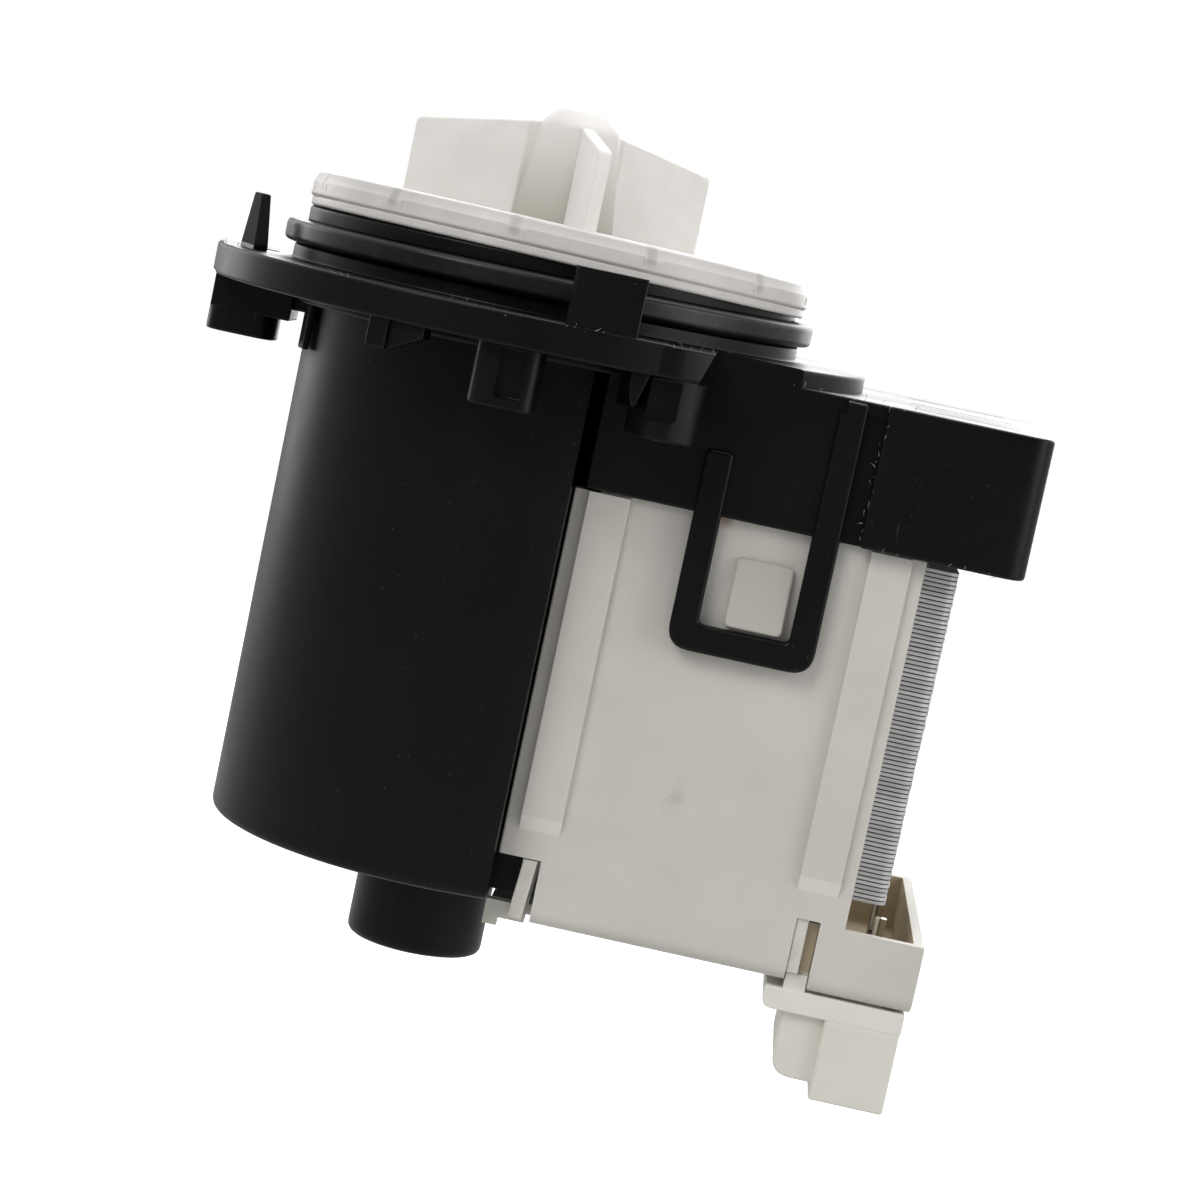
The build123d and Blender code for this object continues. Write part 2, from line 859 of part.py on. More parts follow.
def shaft_seal():
    """Lip seal above the front bush, which keeps grit off the shaft."""
    z0 = front_bearing_z + bearing_l + seat_gap
    return tube(pocket_r - shaft_play, shaft_r + shaft_play, z0, z0 + lip_seal_h)


def rotor_shaft():
    """Steel shaft through both bushes, up into the impeller's hub."""
    return rod(shaft_r, shaft_bottom_z, shaft_top_z)


def rotor_magnet():
    """Two-pole ferrite tube."""
    return tube(magnet_r, magnet_bore_r, magnet_bottom_z, magnet_top_z)


def rotor_hub():
    """Moulding between shaft and magnet, with a neck toward each bearing."""
    front_z1 = front_bearing_z - washer_t - seat_gap * 2
    rear_z0 = rear_bearing_top_z + washer_t + seat_gap * 2
    return turned(
        [
            (shaft_r, rear_z0),
            (hub_boss_r, rear_z0),
            (hub_boss_r, magnet_bottom_z),
            (magnet_bore_r, magnet_bottom_z),
            (magnet_bore_r, magnet_top_z),
            (hub_boss_r, magnet_top_z),
            (hub_boss_r, front_z1),
            (shaft_r, front_z1),
        ]
    )


def lug(inner_r, outer_r, z0, z1, angle):
    """Sector that one half of the drive pushes the other with."""
    half = dog_lug_angle / 2
    start = (outer_r * cos(radians(-half)), outer_r * sin(radians(-half)))
    end = (outer_r * cos(radians(half)), outer_r * sin(radians(half)))
    outline = Curve() + [
        Line((0, 0), start),
        ThreePointArc(start, (outer_r, 0), end),
        Line(end, (0, 0)),
    ]
    sector = make_face(outline) - Circle(inner_r)
    return Rot(0, 0, angle) * plate(sector, z0, z1)


def drive_dog():
    """Sleeve on the shaft whose lug drives the impeller after a free half turn."""
    z0 = impeller_z0 + lid_t + lid_gap
    sleeve = tube(dog_r, shaft_r, z0, z0 + dog_h)
    reach = dog_cavity_r - dog_lug_gap
    return sleeve + lug(dog_r - slide_gap, reach, z0, z0 + dog_h, blade_angles[0])


def hub_lid():
    """Lid snapped into the hub's mouth under the drive dog."""
    return tube(dog_cavity_r, dog_r, impeller_z0, impeller_z0 + lid_t)


def impeller_blade(angle):
    """Flat blade, lower at the tip than at the hub."""
    outline = Polyline(
        (0, impeller_z0),
        (impeller_tip_r, impeller_z0),
        (impeller_tip_r, impeller_tip_top_z),
        (impeller_hub_r1, impeller_root_top_z),
        (0, impeller_root_top_z),
        close=True,
    )
    face = make_face(outline)
    tip = face.vertices().sort_by(Axis.X)[-1:]
    face = fillet(tip, blade_corner_r)
    blade = extrude(Plane.XZ * face, blade_t / 2, both=True)
    return Rot(0, 0, angle) * blade


def impeller():
    """Three-bladed impeller with a domed hub and the drive cavity in it."""
    skirt_z = impeller_top_z - impeller_dome
    hub = turned(
        [
            (0, impeller_z0),
            (impeller_hub_r0, impeller_z0),
            (impeller_hub_r1, skirt_z),
            (impeller_hub_r1 * dome_share, impeller_top_z),
            (0, impeller_top_z),
        ]
    )
    for angle in blade_angles:
        hub += impeller_blade(angle)
    cavity_z1 = impeller_z0 + dog_cavity_h
    hub -= rod(dog_cavity_r, impeller_z0 - over, cavity_z1)
    hub -= rod(shaft_r + shaft_play, cavity_z1 - over, shaft_top_z + seat_gap)
    lug_z0 = impeller_z0 + lid_t + lid_gap
    inner_r = dog_r + dog_lug_gap
    hub += lug(inner_r, dog_cavity_r + slide_gap, lug_z0, cavity_z1, blade_angles[0] + 180)
    return hub


def coil_tails():
    """Sleeved tail from each coil to its tab's pin."""
    tails = []
    coil_z = core_bottom_z - bobbin_slip - bobbin_wall - winding_t / 2
    start_x = yoke_in_x - seat_gap - bobbin_end_t - lead_turn_r
    for y in tab_places():
        pin_x = tab_blade_x - tab_blade_t / 2 - lead_r
        low_z = neck_top_z + lead_turn_r
        path = Polyline(
            (start_x, y, coil_z - winding_t / 2),
            (start_x, y, low_z),
            (pin_x, y, low_z),
            (pin_x, y, tab_blade_top_z),
        )
        section = Plane(origin=path @ 0, z_dir=path % 0) * RegularPolygon(lead_r, 6)
        tails.append(sweep(section, path, transition=Transition.RIGHT))
    return tails


front_washer_z = front_bearing_z - seat_gap - washer_t
rear_washer_z = rear_bearing_top_z + seat_gap

nodes = {
    "pump_body": pump_body(),
    "motor_shroud": motor_shroud(),
    "stator_core": stator_core(),
    "bobbin_front": bobbin_front(),
    "bobbin_rear": other_leg(bobbin()),
    "winding_front": winding(),
    "winding_rear": other_leg(winding()),
    "coil_cover": coil_cover(),
    "terminal_block": terminal_block(),
    "terminal_tabs": Compound(children=terminal_tabs()),
    "thermal_cutout": thermal_cutout(),
    "coil_tails": Compound(children=coil_tails()),
    "chamber_disc": chamber_disc(),
    "seal_ring": seal_ring(),
    "front_bearing": bearing(front_bearing_z),
    "front_bearing_seat": bearing_seat(front_bearing_z),
    "rear_bearing": bearing(rear_bearing_z),
    "rear_bearing_seat": bearing_seat(rear_bearing_z),
    "front_thrust_washer": thrust_washer(front_washer_z),
    "rear_thrust_washer": thrust_washer(rear_washer_z),
    "shaft_seal": shaft_seal(),
    "rotor_shaft": rotor_shaft(),
    "rotor_magnet": rotor_magnet(),
    "rotor_hub": rotor_hub(),
    "drive_dog": drive_dog(),
    "hub_lid": hub_lid(),
    "impeller": impeller(),
}

os.makedirs("parts", exist_ok=True)
for name, shape in nodes.items():
    export_step(shape, f"parts/{name}.step")
    print(name, "solids", len(shape.solids()), "volume", round(shape.volume, 1))
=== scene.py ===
from math import cos, pi, radians, sin, tan

import bmesh
import bpy
from mathutils import Matrix, Vector


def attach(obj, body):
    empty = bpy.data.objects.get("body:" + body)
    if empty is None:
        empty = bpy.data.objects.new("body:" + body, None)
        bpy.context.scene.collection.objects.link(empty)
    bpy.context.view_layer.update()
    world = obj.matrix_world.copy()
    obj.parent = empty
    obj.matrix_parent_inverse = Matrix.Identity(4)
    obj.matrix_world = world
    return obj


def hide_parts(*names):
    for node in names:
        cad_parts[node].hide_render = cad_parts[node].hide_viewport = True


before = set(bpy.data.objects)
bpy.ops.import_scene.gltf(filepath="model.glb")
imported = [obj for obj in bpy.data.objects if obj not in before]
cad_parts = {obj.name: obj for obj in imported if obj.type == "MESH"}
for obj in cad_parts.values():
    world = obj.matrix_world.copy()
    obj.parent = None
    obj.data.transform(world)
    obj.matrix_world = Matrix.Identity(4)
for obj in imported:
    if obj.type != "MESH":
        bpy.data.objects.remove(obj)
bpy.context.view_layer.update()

# Motor shroud
# The black barrel that closes the motor round the rotor can and the pole ends.
# It is moulded from glass-filled plastic, open toward the coils, and slides up under the flange.
# Sizes are in millimetres here and in every section; made() turns a shape into metres.
shroud_r = 34.4
shroud_wall = 2.4
shroud_top_z = -4.6
shroud_bottom_z = -83.6
shroud_end_x = 11.2
shroud_edge = 1.5
cheek_x = 16.0
cheek_y = 20.3
cheek_top_z = -23.2
stub_r = 10.4
fine_edge = 0.3
over = 1.0
far = 200.0


def sum_by(operation):
    """A method that adds the node for one kind of sum."""
    return lambda first, second: first.graph.maths(operation, first, second)


class Value:
    """A node's output that can stand in a sum."""

    __add__ = sum_by("ADD")
    __sub__ = sum_by("SUBTRACT")
    __mul__ = sum_by("MULTIPLY")
    __gt__ = sum_by("GREATER_THAN")
    __lt__ = sum_by("LESS_THAN")

    def __init__(self, graph, socket):
        self.graph = graph
        self.socket = socket


class Graph:
    """A node tree, built up node by node; a short name of a node gets the family before it."""

    family = "ShaderNode"

    def __init__(self, tree):
        self.tree = tree
        tree.nodes.clear()

    def node(self, kind, settings=None, inputs=None, out=0):
        """Adds a node: its settings first, then the values or links of its sockets."""
        node = self.tree.nodes.new(kind if "Node" in kind else self.family + kind)
        for key, value in (settings or {}).items():
            setattr(node, key, value)
        for key, value in (inputs or {}).items():
            if isinstance(value, Value):
                self.tree.links.new(value.socket, node.inputs[key])
            elif node.inputs[key].type == "RGBA":
                node.inputs[key].default_value = (*value, 1.0)
            else:
                node.inputs[key].default_value = value
        return Value(self, node.outputs[out]) if node.outputs else None

    def maths(self, operation, first, second=0.0):
        """One sum on values or numbers."""
        return self.node("ShaderNodeMath", {"operation": operation}, {0: first, 1: second})

    def ramp(self, value, low, high, to_low=0.0, to_high=1.0):
        """The stretch of a value from low to high, drawn out and held at its ends."""
        sockets = {0: value, "From Min": low, "From Max": high, "To Min": to_low, "To Max": to_high}
        return self.node("ShaderNodeMapRange", {"clamp": True}, sockets)


class Finish(Graph):
    """One procedural material."""

    def __init__(self, name):
        self.material = bpy.data.materials.new(name)
        self.material.use_nodes = True
        super().__init__(self.material.node_tree)
        self.place = self.node("TexCoord", out="Object")
        parts = self.node("SeparateXYZ", {}, {0: self.place}).socket.node.outputs
        self.x, self.y, self.z = [Value(self, part) for part in parts]

    def mapped(self, place=None, **changes):
        """Object coordinates that are moved, turned or drawn out."""
        return self.node("Mapping", {}, {"Vector": place or self.place, **changes})

    def noise(self, scale, detail, rough, place=None):
        """Cloudy values about 0.5, with that many clouds to the metre."""
        sockets = {"Vector": place or self.place, "Scale": scale, "Detail": detail, "Roughness": rough}
        return self.node("TexNoise", {}, sockets)

    def mix(self, share, first, second):
        """A colour between two."""
        return self.node("Mix", {"data_type": "RGBA"}, {0: share, 6: first, 7: second}, out=2)

    def rough(self, cloud, least, most):
        """A roughness that follows a cloud."""
        return self.ramp(cloud, 0.3, 0.7, least, most)

    def fade(self, value, low, high):
        """One below the stretch from low to high and nought above it."""
        return self.ramp(value, low, high, 1.0, 0.0)

    def tones(self, cloud, low, high, dark, pale, most=1.0):
        """The colour to begin with, from one tone to another as a cloud goes from low to high."""
        self.colour = self.mix(self.ramp(cloud, low, high, 0.0, most), seen(*dark), seen(*pale))

    def tint(self, share, red, green, blue):
        """Lays one more colour over the others."""
        self.colour = self.mix(share, self.colour, seen(red, green, blue))

    def within(self, x=None, y=None, z=None):
        """One between the limits along each axis, in millimetres, and nought outside them."""
        share = None
        for part, limits in ((self.x, x), (self.y, y), (self.z, z)):
            if limits:
                inside = (part > limits[0] * 0.001) * (part < limits[1] * 0.001)
                share = share * inside if share else inside
        return share

    def coat(self, rough, relief=None, specular=0.5, more=None):
        """The surface itself; relief is a height, its strength and its size in metres."""
        sockets = {"Base Color": self.colour, "Roughness": rough, "Specular IOR Level": specular}
        sockets.update(more or {})
        if relief:
            height, strength, size = relief
            bump = {"Height": height, "Strength": strength, "Distance": size}
            sockets["Normal"] = self.node("Bump", {}, bump)
        surface = self.node("BsdfPrincipled", {}, sockets)
        self.node("OutputMaterial", {}, {"Surface": surface})
        return self.material


def seen(*screen):
    """A colour as its red, green and blue are read off a screen, 0 to 255."""
    shares = [part / 255 for part in screen]
    return tuple(s / 12.92 if s <= 0.04045 else ((s + 0.055) / 1.055) ** 2.4 for s in shares)


def rounded(corners, radius, steps=4):
    """A closed outline whose corners are turned into curves. One radius, or one for each corner."""
    outline = []
    for index, corner in enumerate(corners):
        size = radius[index] if isinstance(radius, list) else radius
        here = Vector(corner)
        back = Vector(corners[index - 1]) - here
        ahead = Vector(corners[(index + 1) % len(corners)]) - here
        if size <= 0:
            outline.append(here)
            continue
        reach = size / tan(back.angle(ahead) / 2)
        reach = min(reach, back.length * 0.45, ahead.length * 0.45)
        start = here + back.normalized() * reach
        end = here + ahead.normalized() * reach
        for step in range(steps + 1):
            share = step / steps
            outline.append(start.lerp(here, share).lerp(here.lerp(end, share), share))
    return outline


def new_mesh(work, name="shape"):
    """A mesh from a finished bmesh, with its faces turned outward."""
    bmesh.ops.recalc_face_normals(work, faces=work.faces)
    mesh = bpy.data.meshes.new(name)
    work.to_mesh(mesh)
    work.free()
    return mesh


def turned(outline, steps):
    """A closed (radius, height) outline turned about the rotor axis."""
    work = bmesh.new()
    rings = []
    for radius, height in outline:
        angles = [2 * pi * step / steps for step in range(steps if radius > 0 else 1)]
        rings.append([work.verts.new((radius * cos(a), radius * sin(a), height)) for a in angles])
    for index, ring in enumerate(rings):
        other = rings[index - 1]
        for step in range(steps):
            after = (step + 1) % steps
            corners = [ring[step % len(ring)], ring[after % len(ring)]]
            corners += [other[after % len(other)], other[step % len(other)]]
            corners = list(dict.fromkeys(corners))
            if len(corners) > 2:
                work.faces.new(corners)
    return new_mesh(work)


def box_line(u0, u1, v0, v1):
    """The four corners of an upright rectangle."""
    return [(u0, v0), (u1, v0), (u1, v1), (u0, v1)]


def lathe(points, radii, steps=5, around=240):
    """A (radius, height) outline with rounded corners, turned about the rotor axis."""
    return turned(rounded(points, radii, steps), around)


def prism(outline, axis, low, high, edge=0.0, steps=3, rims_at="both"):
    """An outline pushed through along an axis; its rims are rounded at both ends or at the low one."""
    work = bmesh.new()
    place = {"x": lambda u, v: (low, u, v), "y": lambda u, v: (u, low, v), "z": lambda u, v: (u, v, low)}
    floor = work.faces.new([work.verts.new(place[axis](*point)) for point in outline])
    grown = bmesh.ops.extrude_face_region(work, geom=[floor])["geom"]
    away = Vector([high - low if name == axis else 0 for name in "xyz"])
    moved = [item for item in grown if isinstance(item, bmesh.types.BMVert)]
    bmesh.ops.translate(work, verts=moved, vec=away)
    bmesh.ops.recalc_face_normals(work, faces=work.faces)
    if edge:
        rims = [e for e in work.edges if abs((e.verts[0].co - e.verts[1].co).dot(away)) < 1e-9]
        if rims_at == "low":
            depth = "xyz".index(axis)
            rims = [e for e in rims if abs(e.verts[0].co[depth] - low) < 1e-4]
        sharp = [e for e in rims if e.calc_face_angle() > radians(30)]
        cut = {"offset": edge, "segments": steps, "profile": 0.5, "affect": "EDGES"}
        bmesh.ops.bevel(work, geom=sharp, clamp_overlap=True, **cut)
    return new_mesh(work)


def block(x0, x1, y0, y1, z0, z1, edge=0.0, corner=0.0):
    """A block given by its faces; corner rounds its upright edges, edge its rims."""
    outline = rounded(box_line(x0, x1, y0, y1), corner or edge, 4 if corner else 2)
    return prism(outline, "z", z0, z1, edge)


def cleaned(mesh, gap):
    """A bmesh of a shape with its doubles merged and its slivers dissolved."""
    work = bmesh.new()
    work.from_mesh(mesh)
    bmesh.ops.remove_doubles(work, verts=work.verts, dist=gap)
    bmesh.ops.dissolve_degenerate(work, edges=work.edges, dist=gap)
    return work


def placed(name, data):
    """An object in the scene that holds this mesh, curve, lamp or camera."""
    item = bpy.data.objects.new(name, data)
    bpy.context.scene.collection.objects.link(item)
    return item


def as_mesh(item):
    """A plain mesh of an object as its modifiers leave it."""
    bpy.context.view_layer.update()
    finished = item.evaluated_get(bpy.context.evaluated_depsgraph_get())
    return bpy.data.meshes.new_from_object(finished)


def shaped(body, joins=(), cuts=()):
    """A body with others joined to it and then others cut out of it."""
    workpiece = placed("workpiece", body)
    tools = []
    for operation, meshes in (("UNION", joins), ("DIFFERENCE", cuts)):
        for mesh in meshes:
            tools.append(placed("tool", mesh))
            step = workpiece.modifiers.new("shape", "BOOLEAN")
            step.operation = operation
            step.solver = "EXACT"
            step.object = tools[-1]
    mesh = as_mesh(workpiece)
    for item in [workpiece, *tools]:
        bpy.data.objects.remove(item)
    return new_mesh(cleaned(mesh, 0.001))


def both_sides(mesh):
    """A shape and its reflection on the hidden side of the motor."""
    other = mesh.copy()
    other.transform(Matrix.Scale(-1, 4, (0, 1, 0)))
    other.flip_normals()
    return [mesh, other]


def made(name, mesh, material, smooth=32.0):
    """The finished piece in metres: doubles merged, curves smooth and flats flat."""
    work = cleaned(mesh, 0.002)
    bmesh.ops.recalc_face_normals(work, faces=work.faces)
    bmesh.ops.scale(work, vec=(0.001, 0.001, 0.001), verts=work.verts)
    work.to_mesh(mesh)
    work.free()
    mesh.name = name
    mesh.materials.clear()
    mesh.materials.append(material)
    mesh.shade_smooth()
    mesh.set_sharp_from_angle(angle=radians(smooth))
    piece = placed(name, mesh)
    flat = piece.modifiers.new("flat faces", "WEIGHTED_NORMAL")
    flat.keep_sharp = True
    return piece


def black_plastic(name, seed_shift):
    """Glass-filled black plastic: cloudy gloss, fine grain, pale rub marks and short scratches."""
    paint = Finish(name)
    shifted = paint.mapped(Location=(seed_shift, 0, 0))
    clouds = paint.noise(60, 3, 0.6, shifted)
    grain = paint.noise(3500, 2, 0.6, shifted)
    along_streaks = paint.mapped(shifted, Scale=(900.0, 700.0, 90.0), Rotation=(0.3, 0.2, 0.0))
    streaks = paint.noise(1, 3, 0.6, along_streaks)
    patches = paint.noise(120, 2, 0.5, shifted)
    marks = paint.ramp(streaks, 0.70, 0.76) * paint.ramp(patches, 0.56, 0.66)
    specks = paint.ramp(paint.noise(1600, 1, 0.4, shifted), 0.76, 0.80)
    paint.tones(clouds, 0.0, 1.0, (5, 5, 5), (10, 10, 10))
    paint.tint(marks * 0.2, 96, 95, 92)
    paint.tint(specks * 0.25, 90, 88, 84)
    on_fin = paint.within(x=(-far, -39.2), z=(0.6, far))
    rough = paint.rough(clouds, 0.34, 0.44) + marks * 0.15 + on_fin * 0.4
    height = grain * (on_fin * 2 + 0.5) + clouds * 0.8 - marks * 0.6
    return paint.coat(rough, (height, 0.25, 0.00006), specular=0.22)


shroud_finish = black_plastic("shroud_plastic", 0.0)
shroud_in_r = shroud_r - shroud_wall
shroud_floor_z = shroud_bottom_z + shroud_wall
barrel = lathe(
    [
        (shroud_in_r, shroud_top_z), (shroud_r, shroud_top_z), (shroud_r, shroud_bottom_z),
        (stub_r + fine_edge, shroud_bottom_z), (stub_r + fine_edge, shroud_floor_z),
        (shroud_in_r, shroud_floor_z),
    ],
    [0, fine_edge, shroud_edge, fine_edge, 0, fine_edge],
)
shroud_past = shroud_r + over
open_side = block(
    shroud_end_x, shroud_past, -shroud_past, shroud_past, shroud_bottom_z - over, shroud_top_z + over
)
barrel = shaped(barrel, cuts=[open_side])
cheek_x0 = shroud_end_x - 2 * shroud_wall
cheek_y1 = cheek_y + shroud_wall
cheek = block(cheek_x0, cheek_x, cheek_y, cheek_y1, shroud_bottom_z, cheek_top_z, fine_edge)
web_y1 = (shroud_r**2 - shroud_end_x**2) ** 0.5 - shroud_wall / 2
web = block(shroud_end_x - shroud_wall, shroud_end_x, cheek_y, web_y1, shroud_bottom_z, cheek_top_z)
plate = [shroud_end_x - over, cheek_x, -cheek_y, cheek_y]
plate = block(*plate, shroud_bottom_z, shroud_floor_z, fine_edge)
barrel = shaped(barrel, joins=[*both_sides(cheek), *both_sides(web), plate])
motor_barrel = made("motor_barrel", barrel, shroud_finish)
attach(motor_barrel, "pump")
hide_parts("motor_shroud")

# Pump body
# The flange with its spigot, the long rotor can with the bearing pocket, the bosses and the motor cap.
# All of it is one black moulding; the spigot plugs into the sump, and three screws hold the flange.
flange_r = 49.3
flange_t = 4.6
spigot_r = 38.5
spigot_neck_r = 37.2
spigot_h = 8.0
spigot_wall = 4.4
land_h = 2.2
groove_r = 36.7
groove_top_z = 5.8
can_r = 17.1
can_in_r = 15.7
can_bottom_z = -80.9
can_floor_z = -78.9
pocket_r = 8.6
pocket_floor_z = -97.0
stub_bottom_z = -98.9
collar_r = 34.7
collar_w = 1.9
collar_bottom_z = -6.1


def rod(radius, z0, z1, steps):
    """A round bar on the rotor axis."""
    return turned([(0, z0), (radius, z0), (radius, z1), (0, z1)], steps)


def at_polar(mesh, radius, angle):
    """Stands a shape on a circle about the rotor axis, turned to face out."""
    turn = Matrix.Rotation(radians(angle), 4, "Z")
    mesh.transform(turn @ Matrix.Translation((radius, 0, 0)))
    return mesh


body_finish = black_plastic("body_plastic", 3.1)
rim = 0.5
spigot_in_r = spigot_r - spigot_wall
body = lathe(
    [
        (0, stub_bottom_z), (stub_r, stub_bottom_z), (stub_r, can_bottom_z), (can_r, can_bottom_z),
        (can_r, -flange_t), (flange_r, -flange_t), (flange_r, 0), (spigot_r, 0), (spigot_r, land_h),
        (groove_r, land_h), (groove_r, groove_top_z), (spigot_neck_r, groove_top_z),
        (spigot_neck_r, spigot_h), (spigot_in_r, spigot_h), (spigot_in_r, 0), (can_r, 0),
        (can_r, spigot_h), (can_in_r, spigot_h), (can_in_r, can_floor_z), (pocket_r, can_floor_z),
        (pocket_r, pocket_floor_z), (0, pocket_floor_z),
    ],
    [0, 1.4, 0, 0, 0, rim, rim, 0.4, rim, 0, 0, 0.2, rim, rim, 0, 0, 0.2, 0.2, 0, 0, 0, 0],
    4,
)
flange_mid_z = -flange_t / 2
collar = lathe(box_line(collar_r, collar_r + collar_w, collar_bottom_z, flange_mid_z), [0, 0.6, 0, 0], 4)
body_joins = [collar]

# Screw bosses: a square base against the flange, an oval barrel below it and a pad beyond its rim.
# The two near bosses stand a hair off 60 degrees, so that no face of theirs meets an edge of the ring.
screw_circle_r = 43.0
screw_angles = (180, -60.07, 60.07)
screw_r = 2.3
boss_base_r = 6.1
boss_base_h = 5.2
boss_round_r = 4.1
boss_long_r = 5.4
boss_out = 1.2
boss_bottom_z = -13.3
pad_r = 50.1
pad_half_w = 5.6
pad_in = 3.0
pad_corner_r = 4.4
boss_rib_half_w = 2.0
boss_rib_bottom_z = -8.1
boss_holes = []
for angle in screw_angles:
    base_out = boss_base_r if angle == 180 else 1.0
    base = [-boss_base_r, base_out, -boss_round_r, boss_round_r]
    base = block(*base, -flange_t - boss_base_h, flange_mid_z, 0.3)
    pad = [-pad_in, pad_r - screw_circle_r, -pad_half_w, pad_half_w]
    pad = block(*pad, -flange_t + 0.05, -0.03, rim, pad_corner_r)
    rib = [collar_r - screw_circle_r, 0, -boss_rib_half_w, boss_rib_half_w]
    rib = block(*rib, boss_rib_bottom_z, flange_mid_z - 0.1, 0.3)
    oval = box_line(boss_out - boss_long_r, boss_out + boss_long_r, -boss_round_r, boss_round_r)
    oval = rounded(oval, boss_round_r * 0.98, 8)
    barrel_part = prism(oval, "z", boss_bottom_z, flange_mid_z, 0.4)
    body_joins.append(at_polar(shaped(base, [rib, pad, barrel_part]), screw_circle_r, angle))
    boss_holes.append(at_polar(rod(screw_r, boss_bottom_z - over, over, 32), screw_circle_r, angle))

# Guide boss, hook, gussets, rim tab and fin, which all stand on the flange.
guide = block(-4.7, 4.7, -47.0, -38.4, boss_bottom_z, flange_mid_z, 0.4, 2.6)
gusset_line = [(16.7, -2.3), (19.3, -2.3), (19.3, -5.0), (18.1, -9.3), (17.5, -9.3), (16.7, -7.0)]
near_gusset = prism(gusset_line, "y", -44.2, -40.0, 0.3)
body_joins += [guide, near_gusset]
boss_windows = [
    block(-1.0, 2.6, -48.0, -45.9, -11.8, -4.8, 0.3),
    block(19.6, 24.0, -48.0, -42.1, -10.6, -4.8, 0.3),
]

hook_circle_r = 46.6
hook_angle = -109.5
hook_line = [(-1.6, -2.3), (4.1, -2.3), (4.1, -6.2), (-0.6, -8.5), (-1.6, -8.5)]
hook_plate = prism(box_line(-4.1, -1.1, -2.3, -8.6), "x", -1.3, 2.1, 0.3)
hook_block = prism(hook_line, "x", -1.3, 1.3, 0.3)
body_joins += [at_polar(part, hook_circle_r, hook_angle) for part in (hook_plate, hook_block)]

gusset_bottom_z = -12.8
for angle in (-158, 158):
    gusset = block(0.1, 1.1, -1.5, 1.5, gusset_bottom_z, flange_mid_z, 0.25)
    body_joins.append(at_polar(gusset, collar_r, angle))

tab_circle_r = 48.0
tab = prism(box_line(-5.0, 5.0, -2.3, 8.1), "x", -0.9, 0.9, 0.25)
body_joins.append(at_polar(tab, tab_circle_r, -76))

fin_circle_r = 44.5
fin_taper = 0.045
fin_lean = 0.05
fin_turn = 11.0
fin_line = [(-4.0, -2.3), (4.0, -2.3), (4.0, 0.8), (0.2, 8.2), (-4.0, 8.2)]
fin = prism(rounded(fin_line, [0, 0, 0.8, 0.5, 0.5]), "x", -1.1, 1.1, 0.25)
for corner in fin.vertices:
    corner.co.x *= 1.0 - fin_taper * max(corner.co.z, 0.0)
    corner.co.x -= fin_lean * corner.co.z
fin.transform(Matrix.Rotation(radians(fin_turn), 4, "Z"))
body_joins.append(at_polar(fin, fin_circle_r, 193.5))

# Motor cap: the box beside the can, deeper past its step, which takes the coil cover's top.
cap_x0 = 13.0
cap_step_x = 52.7
cap_x1 = 76.8
cap_half_y = 28.8
cap_step = 1.5
cap_top_z = -2.4
cap_bottom_z = -22.9
cap_wall = 2.0
cap_corner_r = 4.2
cap_in_y = 27.4
cap_deep_y = cap_half_y + cap_step
cap_near = [cap_x0, cap_step_x + 0.8, -cap_half_y, cap_half_y]
cap_near = block(*cap_near, cap_bottom_z + 0.04, cap_top_z - 0.06, 0.45)
cap_line = box_line(cap_step_x, cap_x1, -cap_deep_y, cap_deep_y)
cap_line = rounded(cap_line, [0.7, cap_corner_r, cap_corner_r, 0.7], 8)
cap_far = prism(cap_line, "z", cap_bottom_z, cap_top_z, 0.6)
cap_hollow = [cap_x0 + cap_wall, cap_x1 - cap_wall, -cap_in_y, cap_in_y]
cap_hollow = block(*cap_hollow, cap_bottom_z - over, -flange_t - 0.3)
cap_hollow = shaped(cap_hollow, cuts=[rod(can_r + 0.25, cap_bottom_z - 2 * over, 0.3, 240)])
recess_w = 2.5
recess_depth = 0.6
recess_top_z = -4.4
recess = [cap_step_x - recess_w, cap_step_x, -cap_half_y - over, -cap_half_y + recess_depth]
recess = block(*recess, cap_bottom_z - 2 * over, recess_top_z)

# Snap loops: a spring loop on each face of the cap, whose arms run up the face as rounded ribs.
loop_x0 = 28.8
loop_x1 = 50.0
loop_bar = 4.0
loop_bottom_z = -42.5
loop_back_y = 27.6
loop_front_y = 29.8
loop_corner_r = 3.4
loop_left_top_z = -13.6
loop_right_top_z = -2.9
loop_in_x0 = loop_x0 + loop_bar
loop_in_x1 = loop_x1 - loop_bar
loop_in_z = loop_bottom_z + loop_bar
loop_line = [
    (loop_x0, loop_left_top_z), (loop_x0, loop_bottom_z), (loop_x1, loop_bottom_z),
    (loop_x1, loop_right_top_z), (loop_in_x1, loop_right_top_z), (loop_in_x1, loop_in_z),
    (loop_in_x0, loop_in_z), (loop_in_x0, loop_left_top_z),
]
loop_line = rounded(loop_line, [0.8, loop_corner_r, loop_corner_r, 0.8, 0.8, 1.0, 1.0, 0.8], 6)
loop = prism(loop_line, "y", -loop_front_y, -loop_back_y, 1.6, 5, "low")
body_joins += [cap_near, cap_far, *both_sides(loop)]

# The flange is cut back flush with the cap beside the right screw pad.
flush_line = [(27.8, over), (47.0, over), (47.0, -flange_t - 0.15), (25.9, -flange_t - 0.15)]
flush_cut = prism(flush_line, "y", -flange_r - over, -cap_half_y - 0.05)

# Shallow moulded lines on the cap's far top.
line_marks = []
for y in (-18.6, 0.0, 18.6):
    line_marks.append(block(56.7, 72.2, y - 0.6, y + 0.6, cap_top_z - 0.4, cap_top_z + over))
body = shaped(body, body_joins)
body_cuts = [cap_hollow, flush_cut, *both_sides(recess), *boss_holes, *boss_windows, *line_marks]
body = shaped(body, cuts=body_cuts)
flanged_body = made("flanged_body", body, body_finish)
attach(flanged_body, "pump")
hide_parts("pump_body")

